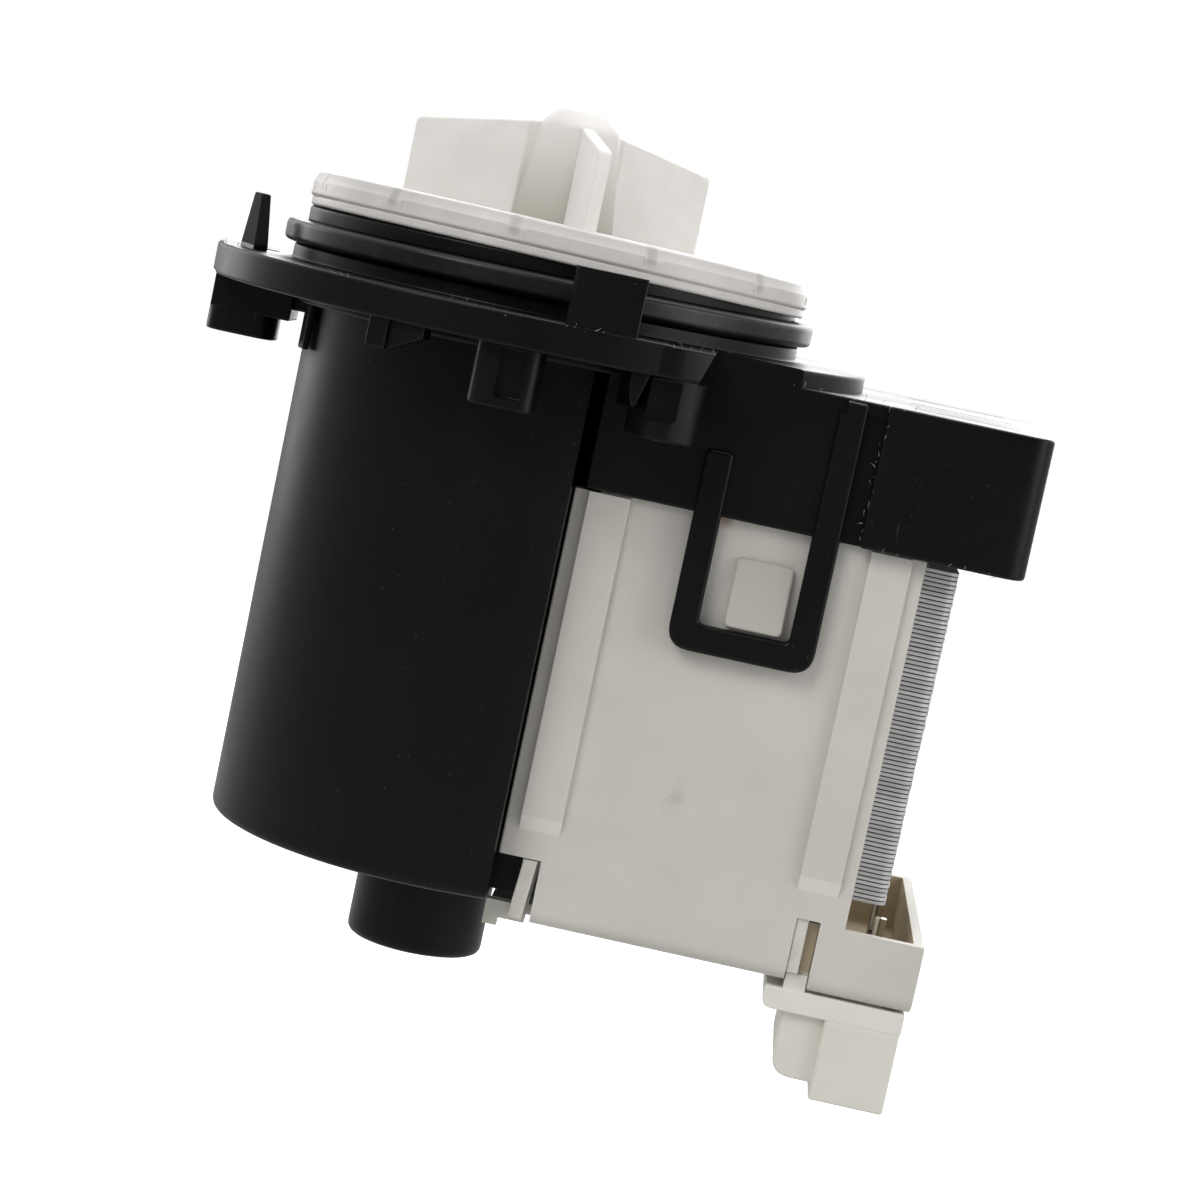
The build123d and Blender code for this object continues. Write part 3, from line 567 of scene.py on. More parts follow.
# Mould flash
# The thin pale whiskers that the mould leaves along the flange's rim and the cap's seam.
# They are the same black plastic, drawn out and rubbed white, and geometry nodes grow them on edges.
seal_line_r = 38.6


class Growth(Graph):
    """Geometry nodes that set one shape on many points."""

    family = "GeometryNode"

    def __init__(self, name, **sizes):
        super().__init__(bpy.data.node_groups.new(name, "GeometryNodeTree"))
        self.sizes = {}
        self.socket("Geometry", "Geometry")
        for label, value in sizes.items():
            socket = self.socket(label, "Int" if isinstance(value, int) else "Float")
            self.sizes[socket.identifier] = value
        self.socket("Geometry", "Geometry", "OUTPUT")

    def socket(self, label, kind, way="INPUT"):
        """One more thing that the nodes take or give."""
        return self.tree.interface.new_socket(label, in_out=way, socket_type="NodeSocket" + kind)

    def given(self, label):
        """What the nodes are handed under a name."""
        return self.node("NodeGroupInput", out=label)

    def chance(self, low, high):
        """A random number for each point, or three of them where the limits have three."""
        single = not isinstance(low, tuple)
        first = 2 if single else 0
        sockets = {first: low, first + 1: high, "Seed": self.given("Seed")}
        settings = {"data_type": "FLOAT" if single else "FLOAT_VECTOR"}
        return self.node("FunctionNodeRandomValue", settings, sockets, out=int(single))

    def grow(self, piece, material, points, shape, **pose):
        """Sets the shape on every point and leaves the piece as a plain mesh."""
        sockets = {"Points": points, "Instance": shape, **pose}
        many = self.node("InstanceOnPoints", {}, sockets)
        real = self.node("RealizeInstances", {}, {"Geometry": many})
        sockets = {"Geometry": real, "Material": material}
        self.node("NodeGroupOutput", {}, {"Geometry": self.node("SetMaterial", {}, sockets)})
        step = piece.modifiers.new("grown", "NODES")
        step.node_group = self.tree
        for identifier, value in self.sizes.items():
            step[identifier] = value
        mesh = as_mesh(piece)
        piece.modifiers.remove(step)
        piece.data = mesh


def rim_line(radius, height, start, end):
    """Points along a stretch of a circle about the rotor axis."""
    count = max(int(abs(end - start) / 3), 2)
    angles = [radians(start + (end - start) * step / count) for step in range(count + 1)]
    return [(radius * cos(angle), radius * sin(angle), height) for angle in angles]


paint = Finish("rubbed_flash")
tone = paint.noise(900, 3, 0.6)
paint.tones(tone, 0.4, 0.6, (70, 69, 67), (186, 184, 180))
paint.coat(paint.rough(tone, 0.5, 0.7), (tone, 0.2, 0.00003))
edge_r = flange_r - 0.1
flash_lines = [
    rim_line(edge_r, 0.0, -171, -157),
    rim_line(flange_r - 2.6, 0.05, -170, -158),
    rim_line(edge_r, 0.0, -124, -116),
    rim_line(edge_r, 0.0, -101, -92),
    rim_line(flange_r, -0.3, -82, -76),
    rim_line(pad_r - 0.3, 0.0, -66, -57),
    rim_line(seal_line_r, 0.2, -58, -36),
    [(cap_step_x, -cap_deep_y, -3.2), (cap_step_x, -cap_deep_y, cap_bottom_z)],
    [(cap_step_x + 0.2, -cap_deep_y, cap_top_z), (cap_step_x + 3.5, -cap_deep_y, cap_top_z)],
    [(38.0, -cap_half_y, cap_top_z), (51.5, -cap_half_y, cap_top_z)],
    [(72.5, -cap_deep_y, cap_bottom_z), (56.0, -cap_deep_y, cap_bottom_z)],
]
flash_points = []
flash_edges = []
for line in flash_lines:
    first = len(flash_points)
    flash_edges += [(first + step, first + step + 1) for step in range(len(line) - 1)]
    flash_points += [[part * 0.001 for part in place] for place in line]
flash_mesh = bpy.data.meshes.new("mould_flash")
flash_mesh.from_pydata(flash_points, flash_edges, [])
mould_flash = placed("mould_flash", flash_mesh)

# Each whisker is a bent thread, set along the lines with a little scatter; sizes are in metres.
growth = Growth("edge_whiskers", Spacing=0.00115, Length=0.0009, Radius=0.000036, Scatter=0.00025, Seed=11)
lines = growth.node("MeshToCurve", {}, {"Mesh": growth.given("Geometry")})
points = {"Curve": lines, "Length": growth.given("Spacing")}
points = growth.node("CurveToPoints", {"mode": "LENGTH"}, points)
apart = {0: growth.chance((-1.0, -1.0, -1.0), (1.0, 1.0, 1.0)), "Scale": growth.given("Scatter")}
apart = growth.node("ShaderNodeVectorMath", {"operation": "SCALE"}, apart)
points = growth.node("SetPosition", {}, {"Geometry": points, "Offset": apart})
whisker = {"Resolution": 4, "Start": (0.0, 0.0, 0.0), "Middle": (0.5, 0.35, 0.1), "End": (1.0, 0.0, 0.3)}
whisker = growth.node("CurveQuadraticBezier", {}, whisker)
stretch = growth.node("ShaderNodeCombineXYZ", {}, dict.fromkeys("XYZ", growth.given("Length")))
whisker = growth.node("Transform", {}, {"Geometry": whisker, "Scale": stretch})
ring = {"Resolution": 4, "Radius": growth.given("Radius")}
ring = growth.node("CurvePrimitiveCircle", {}, ring)
whisker = {"Curve": whisker, "Profile Curve": ring, "Fill Caps": True}
whisker = growth.node("CurveToMesh", {}, whisker)
pose = {"Rotation": growth.chance((-pi, -pi, -pi), (pi, pi, pi)), "Scale": growth.chance(0.25, 1.1)}
growth.grow(mould_flash, paint.material, points, whisker, **pose)
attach(mould_flash, "pump")

# Sump seal
# A moulded rubber ring with a rounded bead, stretched into the spigot's groove.
# The sump's bore squeezes the bead when the pump is screwed on.
seal_in_r = 36.75
seal_out_r = 40.2
seal_z0 = 2.25
seal_z1 = 5.75
paint = Finish("seal_rubber")
dust = paint.noise(500, 4, 0.7)
wear = paint.noise(90, 3, 0.6)
paint.tones(dust, 0.5, 0.75, (14, 14, 15), (44, 43, 42), 0.5)
relief = (dust + wear * 2, 0.35, 0.0001)
paint.coat(paint.rough(wear, 0.28, 0.5), relief, 0.4)
seal_mesh = lathe(
    [
        (seal_in_r, seal_z0), (spigot_r, seal_z0), (seal_out_r, seal_z0 + 0.3),
        (seal_out_r, seal_z1 - 0.2), (spigot_r, seal_z1), (seal_in_r, seal_z1),
    ],
    [0.2, 0.5, 1.9, 1.4, 0.5, 0.2],
    8,
)
sump_seal = made("sump_seal", seal_mesh, paint.material)
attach(sump_seal, "pump")
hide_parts("seal_ring")

# Chamber disc
# The translucent disc that closes the can and carries the front bearing behind the impeller.
# It is moulded from natural polypropylene, with a rounded rim that has a ring of shallow panels.
disc_r = 37.9
disc_z0 = 8.0
disc_top_z = 13.2
disc_face_z = 11.6
disc_plate_t = 2.4
disc_rim_w = 3.2
disc_bulge_r = 38.05
disc_band_h = 1.15
disc_hub_z = -11.4
disc_tilt = 0.021
disc_lean = 0.018
disc_drop = 0.85
disc_shift = 0.5
disc_still_r = 18.0
disc_lift = 0.0006
bore_r = 2.8
notch_count = 12
notch_start = -125.5


def squares(first, second):
    """The sum of two squares."""
    return first * first + second * second


def waxy(share, *reach):
    """How light goes a little way into a pale plastic."""
    return {"Subsurface Weight": share, "Subsurface Radius": reach}


paint = Finish("natural_polypropylene")
cloud = paint.noise(140, 4, 0.6)
scuff = paint.noise(1, 4, 0.65, paint.mapped(Scale=(300.0, 300.0, 2200.0)))
disc_near = paint.maths("MINIMUM", paint.y, 0.0)
disc_height = paint.z + paint.x * disc_tilt + disc_near * disc_lean + disc_lift
paint.tones(cloud, 0.35, 0.7, (210, 206, 202), (220, 217, 213))
# The rim's upper band is painted a little greyer: painted shade.
paint.tint(paint.ramp(disc_height, 0.0112, 0.0126) * 0.45, 176, 173, 172)
rib_turn = paint.maths("ARCTAN2", paint.y, paint.x) * (notch_count / (2 * pi))
rib_turn = rib_turn + (0.5 - notch_start * notch_count / 360)
rib_near = paint.maths("ABSOLUTE", paint.maths("FRACT", rib_turn) - 0.5)
rib_mark = paint.fade(rib_near, 0.02, 0.055) * paint.ramp(disc_height, 0.0096, 0.0106)
on_rim = paint.ramp(squares(paint.x, paint.y), 0.00132, 0.00138)
paint.tint(rib_mark * on_rim * 0.5, 160, 157, 155)
paint.tint(paint.ramp(scuff, 0.6, 0.75) * 0.2, 180, 177, 174)
rough = paint.rough(scuff, 0.3, 0.46)
relief = (scuff + cloud, 0.12, 0.00008)
paint.coat(rough, relief, 0.3, waxy(0.35, 0.004, 0.004, 0.004))
disc_band_z = disc_z0 + disc_band_h
disc_back_z = disc_face_z - disc_plate_t
disc_hub_r = can_in_r - 0.1
disc_rim_r = disc_r - disc_rim_w
disc_mesh = lathe(
    [
        (bore_r, disc_back_z), (pocket_r, disc_back_z), (pocket_r, disc_hub_z), (disc_hub_r, disc_hub_z),
        (disc_hub_r, disc_back_z), (disc_rim_r, disc_back_z), (disc_rim_r, disc_z0),
        (disc_r - 0.15, disc_z0), (disc_r - 0.15, disc_band_z), (disc_r - 0.28, disc_band_z + 0.05),
        (disc_r - 0.28, disc_band_z + 0.15), (disc_bulge_r, disc_band_z + 0.5),
        (disc_bulge_r, disc_top_z - 1.9), (disc_bulge_r - 0.7, disc_top_z - 0.3),
        (disc_bulge_r - 1.7, disc_top_z), (disc_rim_r, disc_top_z), (disc_rim_r - 0.6, disc_face_z),
        (bore_r, disc_face_z),
    ],
    [0, 0, 0.3, 0.3, 0, 0, 0.1, 1.0, 0.15, 0, 0, 0.5, 1.2, 0.7, 0.5, 0.4, 0.4, 0.2],
)
window_z0 = disc_band_z + 1.0
window_z1 = disc_top_z - 1.6
window_depth = 0.08
window_line = box_line(disc_bulge_r - window_depth, disc_r + over, window_z0, window_z1)
window_ring = turned(window_line, 240)
rim_ribs = []
for index in range(notch_count):
    rim_rib = block(-2.0, 2.0, -1.5, 1.5, window_z0 - over, disc_top_z + over)
    rim_ribs.append(at_polar(rim_rib, disc_r, notch_start + index * 360 / notch_count))
disc_mesh = shaped(disc_mesh, cuts=[shaped(window_ring, cuts=rim_ribs)])

# The rim sits a little askew on the spigot, lower on the motor's side; the bearing hub stays true.
for corner in disc_mesh.vertices:
    reach = (corner.co.x**2 + corner.co.y**2) ** 0.5
    share = min(max((reach - disc_still_r) / (disc_r - disc_still_r), 0.0), 1.0)
    corner.co.z -= share * (disc_drop + disc_tilt * corner.co.x + disc_lean * min(corner.co.y, 0.0))
    corner.co.x += share * disc_shift
chamber_lid = made("chamber_lid", disc_mesh, paint.material)
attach(chamber_lid, "pump")
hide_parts("chamber_disc")

# Impeller
# Three flat blades on a domed, tapering hub, moulded in white plastic.
# A lug inside the hub lets it turn half a turn on the shaft before the rotor drives it.
blade_angles = (-77, 43, 163)
blade_bottom_z = 12.1
blade_tip_r = 26.3
blade_tip_z = 24.3
blade_root_z = 27.4
blade_t = 2.0
hub_r0 = 7.8
hub_r1 = 5.9
hub_top_z = 29.8
dome_h = 2.2
cavity_r = 5.7
cavity_top_z = 22.0
paint = Finish("impeller_plastic")
cloud = paint.noise(150, 3, 0.6)
grain = paint.noise(1800, 2, 0.5)
paint.tones(cloud, 0.3, 0.7, (230, 227, 223), (238, 236, 233))
# The hub is painted darker and warmer toward its base: partly the dark drive lug seen through the thin
# wall, partly painted shade between the blades.
hub_shade_zone = paint.fade(squares(paint.x, paint.y), 0.00006, 0.00007)
paint.tint(paint.ramp(paint.z, 0.0125, 0.0275, 0.85, 0.05) * hub_shade_zone, 168, 163, 150)
rough = paint.rough(cloud, 0.52, 0.64)
relief = (grain * 0.4 + cloud, 0.15, 0.00008)
paint.coat(rough, relief, 0.22, waxy(0.25, 0.003, 0.0026, 0.002))
hub_mesh = lathe(
    [
        (0, blade_bottom_z), (hub_r0, blade_bottom_z), (hub_r1, hub_top_z - dome_h),
        (hub_r1 * 0.62, hub_top_z), (0, hub_top_z + 0.1),
    ],
    [0, 0.3, 2.6, 2.2, 0],
    8,
    128,
)
blades = []
for angle in blade_angles:
    blade_line = [
        (1.0, blade_bottom_z), (blade_tip_r, blade_bottom_z), (blade_tip_r, blade_tip_z),
        (hub_r1, blade_root_z), (1.0, blade_root_z),
    ]
    blade_line = rounded(blade_line, [0, 0.4, 1.0, 0, 0])
    blade = prism(blade_line, "y", -blade_t / 2, blade_t / 2, 0.35)
    blades.append(at_polar(blade, 0, angle))
cavity = rod(cavity_r, blade_bottom_z - over, cavity_top_z, 96)
impeller_mesh = shaped(hub_mesh, blades, [cavity])
bladed_impeller = made("bladed_impeller", impeller_mesh, paint.material)
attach(bladed_impeller, "impeller")
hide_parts("impeller")

# Coil cover
# The white shell over both coils: two ribs, a catch and two slots on each face, and the terminal tray.
# It is moulded from glass-filled nylon; its top slips into the cap, and the snap loops hold its catches.
cover_x0 = 11.5
cover_x1 = 62.8
cover_half_y = 27.1
cover_wall = 1.6
cover_bottom_z = -86.9
cover_top_z = -14.9
cover_corner_r = 2.6
tray_x0 = 59.2
tray_x1 = 74.6
tray_top_z = -77.7
tray_bottom_z = -87.8
slot_x0 = 55.7
notch_x = 17.9
notch_z = -77.3
rib_w = 6.1
rib_t = 1.0
rib_bottom_z = -71.0
rib_foot = 2.4
rib_places = (13.6, 54.7)
nub_x0 = 36.3
nub_x1 = 44.7
nub_top_z = -28.0
nub_bottom_z = -38.0
nub_thick = 2.2
nub_slope = 0.62

paint = Finish("cover_nylon")
cloud = paint.noise(45, 4, 0.6)
grain = paint.noise(2600, 2, 0.6)
dirt = paint.noise(260, 5, 0.7)
paint.tones(cloud, 0.35, 0.65, (200, 196, 189), (206, 203, 196))
paint.tint(paint.ramp(dirt, 0.60, 0.75) * 0.12, 150, 145, 132)
# The inside of the tray is painted warm tan: painted warm bounce light and shade in its hollow.
tray_warm_light = paint.within((59.2, 73.1), (-25.6, 25.6), (-86.3, -76.5))
paint.tint(tray_warm_light * 0.85, 208, 192, 160)
# The catch is painted darker: painted shade.
nub_shade = paint.within((36.2, 44.8), (-far, -27.2), (-38.1, -27.9))
paint.tint(nub_shade * 0.34, 140, 135, 127)
# The downward-facing rib feet are painted paler: painted light from below.
rib_feet_highlight = paint.within(y=(-far, -27.2), z=(-73.6, -71.0))
paint.tint(rib_feet_highlight * 0.3, 236, 233, 226)

# The shade that the snap loop throws on the face, a smudge in the middle and a brown stain at the top.
on_face = paint.fade(paint.y, -0.0271, -0.0269)
beside_loop = paint.fade(paint.x, 0.0328, 0.0358) + paint.ramp(paint.x, 0.0436, 0.0462)
beside_loop = beside_loop * paint.fade(paint.z, -0.0385, -0.0270)
beside_loop = beside_loop * paint.within((32.6, 46.2), z=(-39.0, far)) * on_face
paint.tint(beside_loop * 0.42, 128, 124, 117)
smudge = squares(paint.x - 0.0345, (paint.z + 0.0640) * 0.6)
smudge = paint.fade(smudge, 0.0, 0.000005) * paint.ramp(dirt, 0.45, 0.6)
paint.tint(smudge * on_face * 0.35, 150, 147, 140)
stain = paint.fade(squares(paint.x - 0.0335, paint.z + 0.0233), 0.0, 0.000002)
paint.tint(stain * on_face * dirt, 140, 92, 48)
rough = paint.rough(cloud, 0.5, 0.62)
relief = (grain * 0.4 + cloud * 0.8 + dirt * 0.3, 0.2, 0.0001)
paint.coat(rough, relief, 0.3, waxy(0.12, 0.002, 0.0018, 0.0014))


def trough(x0, x1, z0, z1):
    """A block as wide as the cover, whose lower edges along X are rounded."""
    outline = box_line(-cover_half_y, cover_half_y, z1, z0)
    outline = rounded(outline, [0, 0, cover_corner_r, cover_corner_r], 6)
    return prism(outline, "x", x0, x1, 0.35)


cover = trough(cover_x0, cover_x1, cover_bottom_z, cover_top_z)
tray = trough(tray_x0, tray_x1, tray_bottom_z, tray_top_z)
cover_in_y = cover_half_y - cover_wall
cover_in_z = cover_bottom_z + cover_wall
cover_past_z = cover_top_z + over
hollow = [cover_x0 - over, cover_x1 + over, -cover_in_y, cover_in_y]
hollow = block(*hollow, cover_in_z, cover_past_z)
tray_hollow = [tray_x0, tray_x1 - cover_wall, -cover_in_y, cover_in_y]
tray_hollow = block(*tray_hollow, tray_bottom_z + cover_wall, cover_past_z, 0.5)
under_cap_z = cap_bottom_z - 0.3
return_y = cover_in_y + 0.2
cover_returns = [
    *both_sides(block(cover_x0, cover_x0 + cover_wall, 23.0, return_y, notch_z, under_cap_z)),
    *both_sides(block(cover_x1 - cover_wall, cover_x1, 20.3, return_y, tray_top_z, cover_top_z)),
]
rib_in_y = -cover_half_y + 0.4
rib_out_y = -cover_half_y - rib_t
raised = []
for x in rib_places:
    rib_line = [
        (rib_in_y, rib_bottom_z - rib_foot - 0.4), (-cover_half_y, rib_bottom_z - rib_foot),
        (rib_out_y, rib_bottom_z), (rib_out_y, under_cap_z), (rib_in_y, under_cap_z),
    ]
    raised += both_sides(prism(rib_line, "x", x, x + rib_w, 0.25))
catch = rounded(box_line(nub_x0, nub_x1, nub_bottom_z, nub_top_z), 0.9)
catch = prism(catch, "y", -cover_half_y - nub_thick, -cover_half_y + 0.6, 0.45, 3, "low")
for corner in catch.vertices:
    if corner.co.y < -cover_half_y:
        share = (corner.co.z - nub_bottom_z) / (nub_top_z - nub_bottom_z)
        corner.co.y = -cover_half_y + (corner.co.y + cover_half_y) * (1 - nub_slope * share)
raised += both_sides(catch)
cover_past_y = cover_half_y + over
slots = [
    *both_sides(block(cover_x0 - over, notch_x, 20.0, cover_past_y, cover_bottom_z - over, notch_z)),
    *both_sides(block(slot_x0, tray_x0, 22.9, cover_past_y, cover_bottom_z - over, notch_z)),
    block(56.2, 70.6, -24.4, -2.4, tray_bottom_z - over, cover_in_z + over),
    block(cover_x0 - over, 15.3, -cover_past_y, cover_past_y, under_cap_z, cover_past_z),
]
cover = shaped(cover, [tray], [hollow, tray_hollow])
cover = shaped(cover, [*cover_returns, *raised], slots)
white_cover = made("white_cover", cover, paint.material)
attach(white_cover, "pump")
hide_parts("coil_cover")

# Terminal block
# The cream connector shroud under the cover, which takes the washer's two-way plug.
# Its neck stands in the tray and holds the two blade terminals.
block_y0 = -26.1
block_y1 = -2.4
lip_x0 = 53.3
lip_top_z = -88.1
lip_bottom_z = -91.4
shroud_box_x0 = 62.8
shroud_box_x1 = 74.0
shroud_box_z = -103.4
box_wall = 1.4
socket_depth = 12.4
lobe_x0 = 56.6
lobe_bottom_z = -101.2
blade_x = 68.4
blade_places = (-19.2, -7.6)
paint = Finish("connector_plastic")
cloud = paint.noise(70, 4, 0.6)
grain = paint.noise(2200, 2, 0.6)
spots = paint.noise(420, 4, 0.7)
paint.tones(cloud, 0.3, 0.7, (216, 213, 203), (223, 221, 212))
paint.tint(paint.ramp(spots, 0.66, 0.78) * 0.2, 160, 152, 130)
# Above the lip's top the neck in the tray is painted darker tan: painted warm shade.
paint.tint(paint.ramp(paint.z, -0.0856, -0.0850) * 0.8, 186, 168, 134)
# The lip's band is painted paler: painted light that stands in for fill from below.
lip_painted_light = paint.ramp(paint.z, -0.0922, -0.0914) * (paint.z < -0.0876)
paint.tint(lip_painted_light * 0.5, 228, 226, 219)
rough = paint.rough(cloud, 0.55, 0.68)
relief = (grain * 0.4 + cloud, 0.18, 0.0001)
paint.coat(rough, relief, 0.22, waxy(0.15, 0.002, 0.0018, 0.0012))
lip = [
    (lip_x0, lip_top_z), (lip_x0, lip_bottom_z),
    (shroud_box_x1, lip_bottom_z), (shroud_box_x1, lip_top_z),
]
lip = prism(rounded(lip, [0.3, 2.0, 0.4, 0.4], 5), "y", block_y0, block_y1, 0.4)
connector_box = [shroud_box_x0, shroud_box_x1 - 0.1, block_y0 + 0.08, block_y1 - 0.08]
connector_box = block(*connector_box, shroud_box_z, lip_top_z - 0.6, 0.4, 0.6)
lobe_x1 = shroud_box_x0 + over
lobe_top_z = lip_bottom_z + over
lobe = [(lobe_x0, lobe_top_z), (lobe_x0, lobe_bottom_z), (lobe_x1, lobe_bottom_z), (lobe_x1, lobe_top_z)]
lobe = prism(rounded(lobe, [0, 7.4, 0, 0], 12), "y", block_y0 + 1.2, block_y1 - 1.2, 0.4)
neck = block(56.5, 70.3, block_y0 + 2.0, block_y1 - 0.3, lip_bottom_z + 0.4, -84.0, 0.4)
guide_rib = block(57.5, 59.15, -25.0, -22.5, lip_bottom_z + 0.5, -77.9, 0.15)
slot_step = block(55.85, 59.1, -25.95, -24.0, lip_top_z - 0.5, -85.6, 0.2)
socket = [shroud_box_x0 + box_wall, shroud_box_x1 - box_wall]
socket += [block_y0 + box_wall + 1.7, block_y1 - box_wall]
socket = block(*socket, shroud_box_z - over, shroud_box_z + socket_depth, 0.3)
blade_slots = []
for y in blade_places:
    blade_slots.append(block(blade_x - 0.4, blade_x + 0.4, y - 3.15, y + 3.15, shroud_box_z, -83.0))
connector = shaped(connector_box, [lip, lobe, neck, guide_rib, slot_step], [socket, *blade_slots])
plug_shroud = made("plug_shroud", connector, paint.material)
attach(plug_shroud, "pump")
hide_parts("terminal_block")

# Stator core
# Seventy-seven U-shaped sheets of motor steel, punched, stacked and varnished into one pile.
# The sheets show at the right side as fine grey edges with dark varnish between them.
sheet_count = 77
sheet_pitch = 0.65
sheet_t = 0.46
core_bottom_z = -74.4
core_x1 = 68.2
core_half_y = 20.0
core_yoke_w = 13.0
core_leg_w = 12.0
core_tip_x = -19.5
core_corner_r = 2.0
varnish_inset = 0.22
sheet_slip = 0.00005


def core_sheet(inset, z0, z1):
    """One flat sheet, drawn in by an inset, with the gap between its legs and its bore."""
    out_y = core_half_y - inset
    outline = box_line(core_tip_x + inset, core_x1 - inset, -out_y, out_y)
    sheet = prism(rounded(outline, [0, core_corner_r, core_corner_r, 0], 5), "z", z0, z1)
    half_gap = core_half_y - core_leg_w + inset
    gap = [core_tip_x - over, core_x1 - core_yoke_w + inset, -half_gap, half_gap]
    bore = rod(can_r + 0.3 + inset, z0 - over, z1 + over, 64)
    return shaped(sheet, cuts=[block(*gap, z0 - over, z1 + over), bore])


paint = Finish("motor_sheet_edges")
band = paint.noise(1, 2, 0.5, paint.mapped(Scale=(25.0, 25.0, 1538.0)))
rust = paint.noise(600, 4, 0.7)
paint.tones(band, 0.35, 0.65, (186, 186, 186), (212, 212, 212))
paint.tint(paint.ramp(rust, 0.6, 0.75) * 0.3, 96, 90, 84)
core_metal = {"Metallic": paint.ramp(rust, 0.4, 0.7, 0.35, 0.2)}
paint.coat(paint.rough(rust, 0.38, 0.55), (rust, 0.2, 0.00005), more=core_metal)
sheet_z0 = core_bottom_z + (sheet_pitch - sheet_t) / 2
core_pile = made("core_sheets", core_sheet(0.0, sheet_z0, sheet_z0 + sheet_t), paint.material)
core_pile.modifiers.clear()

# Geometry nodes pile the sheet up, each one a hair out of line.
growth = Growth("sheet_pile", Sheets=sheet_count, Pitch=sheet_pitch * 0.001, Slip=sheet_slip, Seed=7)
rise = growth.node("ShaderNodeCombineXYZ", {}, {"Z": growth.given("Pitch")})
line = {"Count": growth.given("Sheets"), "Offset": rise}
line = growth.node("MeshLine", {}, line)
slip = growth.chance(growth.given("Slip") * -1.0, growth.given("Slip"))
slip = growth.node("ShaderNodeCombineXYZ", {}, {"X": slip})
points = growth.node("SetPosition", {}, {"Geometry": line, "Offset": slip})
growth.grow(core_pile, paint.material, points, growth.given("Geometry"))
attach(core_pile, "pump")
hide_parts("stator_core")

# The varnish between the sheets is one dark block that stands a little behind their edges.
paint = Finish("core_varnish")
cloud = paint.noise(300, 4, 0.6)
paint.tones(cloud, 0.0, 1.0, (28, 28, 30), (48, 47, 46))
paint.coat(paint.rough(cloud, 0.4, 0.6), (cloud, 0.2, 0.00005))
core_top_z = core_bottom_z + sheet_count * sheet_pitch
varnish = core_sheet(varnish_inset, core_bottom_z + 0.1, core_top_z - 0.1)
core_varnish = made("core_varnish", varnish, paint.material)
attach(core_varnish, "pump")

# Pieces that keep their solids
# Rear bobbin, coils, cut-out, tails, tabs, bearings, seals, shaft and rotor are inside the casings.
# Their solids have the right shape, so each only gets its own finish; the front bobbin is reshaped.


def plain_finish(name, dark, pale, rough, metal=0.0, scale=400.0):
    """A lightly clouded finish with a fine grain."""
    paint = Finish(name)
    cloud = paint.noise(scale, 4.0, 0.6)
    grain = paint.noise(scale * 8, 2.0, 0.6)
    paint.tones(cloud, 0.3, 0.7, dark, pale)
    rough = paint.rough(cloud, rough, rough + 0.14)
    return paint.coat(rough, (grain + cloud, 0.2, 0.00005), more={"Metallic": metal})


paint = Finish("enamelled_wire")
bands = {"Vector": paint.place, "Scale": 900.0, "Distortion": 0.6, "Detail": 2.0}
bands = paint.node("TexWave", {"wave_type": "BANDS", "bands_direction": "X"}, bands, "Fac")
paint.tones(bands, 0.0, 1.0, (96, 42, 20), (178, 98, 56))
band_rough = paint.ramp(bands, 0.0, 1.0, 0.45, 0.3)
wire_finish = paint.coat(band_rough, (bands, 0.6, 0.0001), more={"Metallic": 0.6})
bobbin_finish = plain_finish("bobbin_nylon", (196, 194, 184), (210, 208, 200), 0.5)
kept_nodes = {"bobbin_rear": bobbin_finish, "winding_front": wire_finish, "winding_rear": wire_finish}
for name, dark, pale, rough, metal, nodes in (
    ("tinned_brass", (150, 142, 120), (196, 188, 160), 0.3, 0.9, "terminal_tabs"),
    ("sleeving", (206, 200, 180), (226, 220, 204), 0.45, 0.0, "coil_tails"),
    ("ground_steel", (150, 151, 153), (186, 187, 189), 0.24, 1.0,
     "front_thrust_washer rear_thrust_washer rotor_shaft"),
    ("sintered_bronze", (120, 88, 48), (156, 118, 70), 0.5, 0.8, "front_bearing rear_bearing"),
    ("cup_rubber", (16, 16, 17), (30, 30, 31), 0.55, 0.0,
     "front_bearing_seat rear_bearing_seat shaft_seal"),
    ("ferrite", (44, 44, 47), (66, 66, 70), 0.45, 0.2, "rotor_magnet"),
    ("rotor_moulding", (18, 18, 19), (30, 30, 31), 0.45, 0.0, "thermal_cutout rotor_hub drive_dog"),
    ("lid_plastic", (216, 213, 208), (230, 228, 224), 0.45, 0.0, "hub_lid"),
):
    kept_nodes.update(dict.fromkeys(nodes.split(), plain_finish(name, dark, pale, rough, metal)))
for name, material in kept_nodes.items():
    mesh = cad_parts[name].data
    mesh.materials.clear()
    mesh.materials.append(material)

# The front bobbin's foot ends level with the cover, and its fingers stand in the cover's front notches.
bobbin_work = bmesh.new()
bobbin_work.from_mesh(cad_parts["bobbin_front"].data)
bmesh.ops.scale(bobbin_work, vec=(1000, 1000, 1000), verts=bobbin_work.verts)
bmesh.ops.remove_doubles(bobbin_work, verts=bobbin_work.verts, dist=0.001)
bobbin_copy = new_mesh(bobbin_work)
foot_cuts = [
    block(13.2, 19.0, -30.0, -18.0, -90.5, cover_bottom_z - 0.3),
    block(9.5, 13.2, -30.0, -18.0, -90.5, cover_bottom_z - 1.5),
    prism([(17.0, -88.5), (18.4, -88.5), (18.4, -76.6), (17.7, -76.6)], "y", -30.0, -21.5),
]
fingers = [
    block(55.75, 57.5, -26.7, -24.4, -85.5, notch_z + 0.2, 0.2),
    prism([(14.6, -86.4), (16.7, -86.4), (17.4, -77.5), (15.3, -77.5)], "y", -26.9, -24.2, 0.2),
]
shown_bobbin = shaped(shaped(bobbin_copy, cuts=foot_cuts), fingers)
shown_bobbin = made("shown_bobbin", shown_bobbin, bobbin_finish)
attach(shown_bobbin, "pump")
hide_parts("bobbin_front")

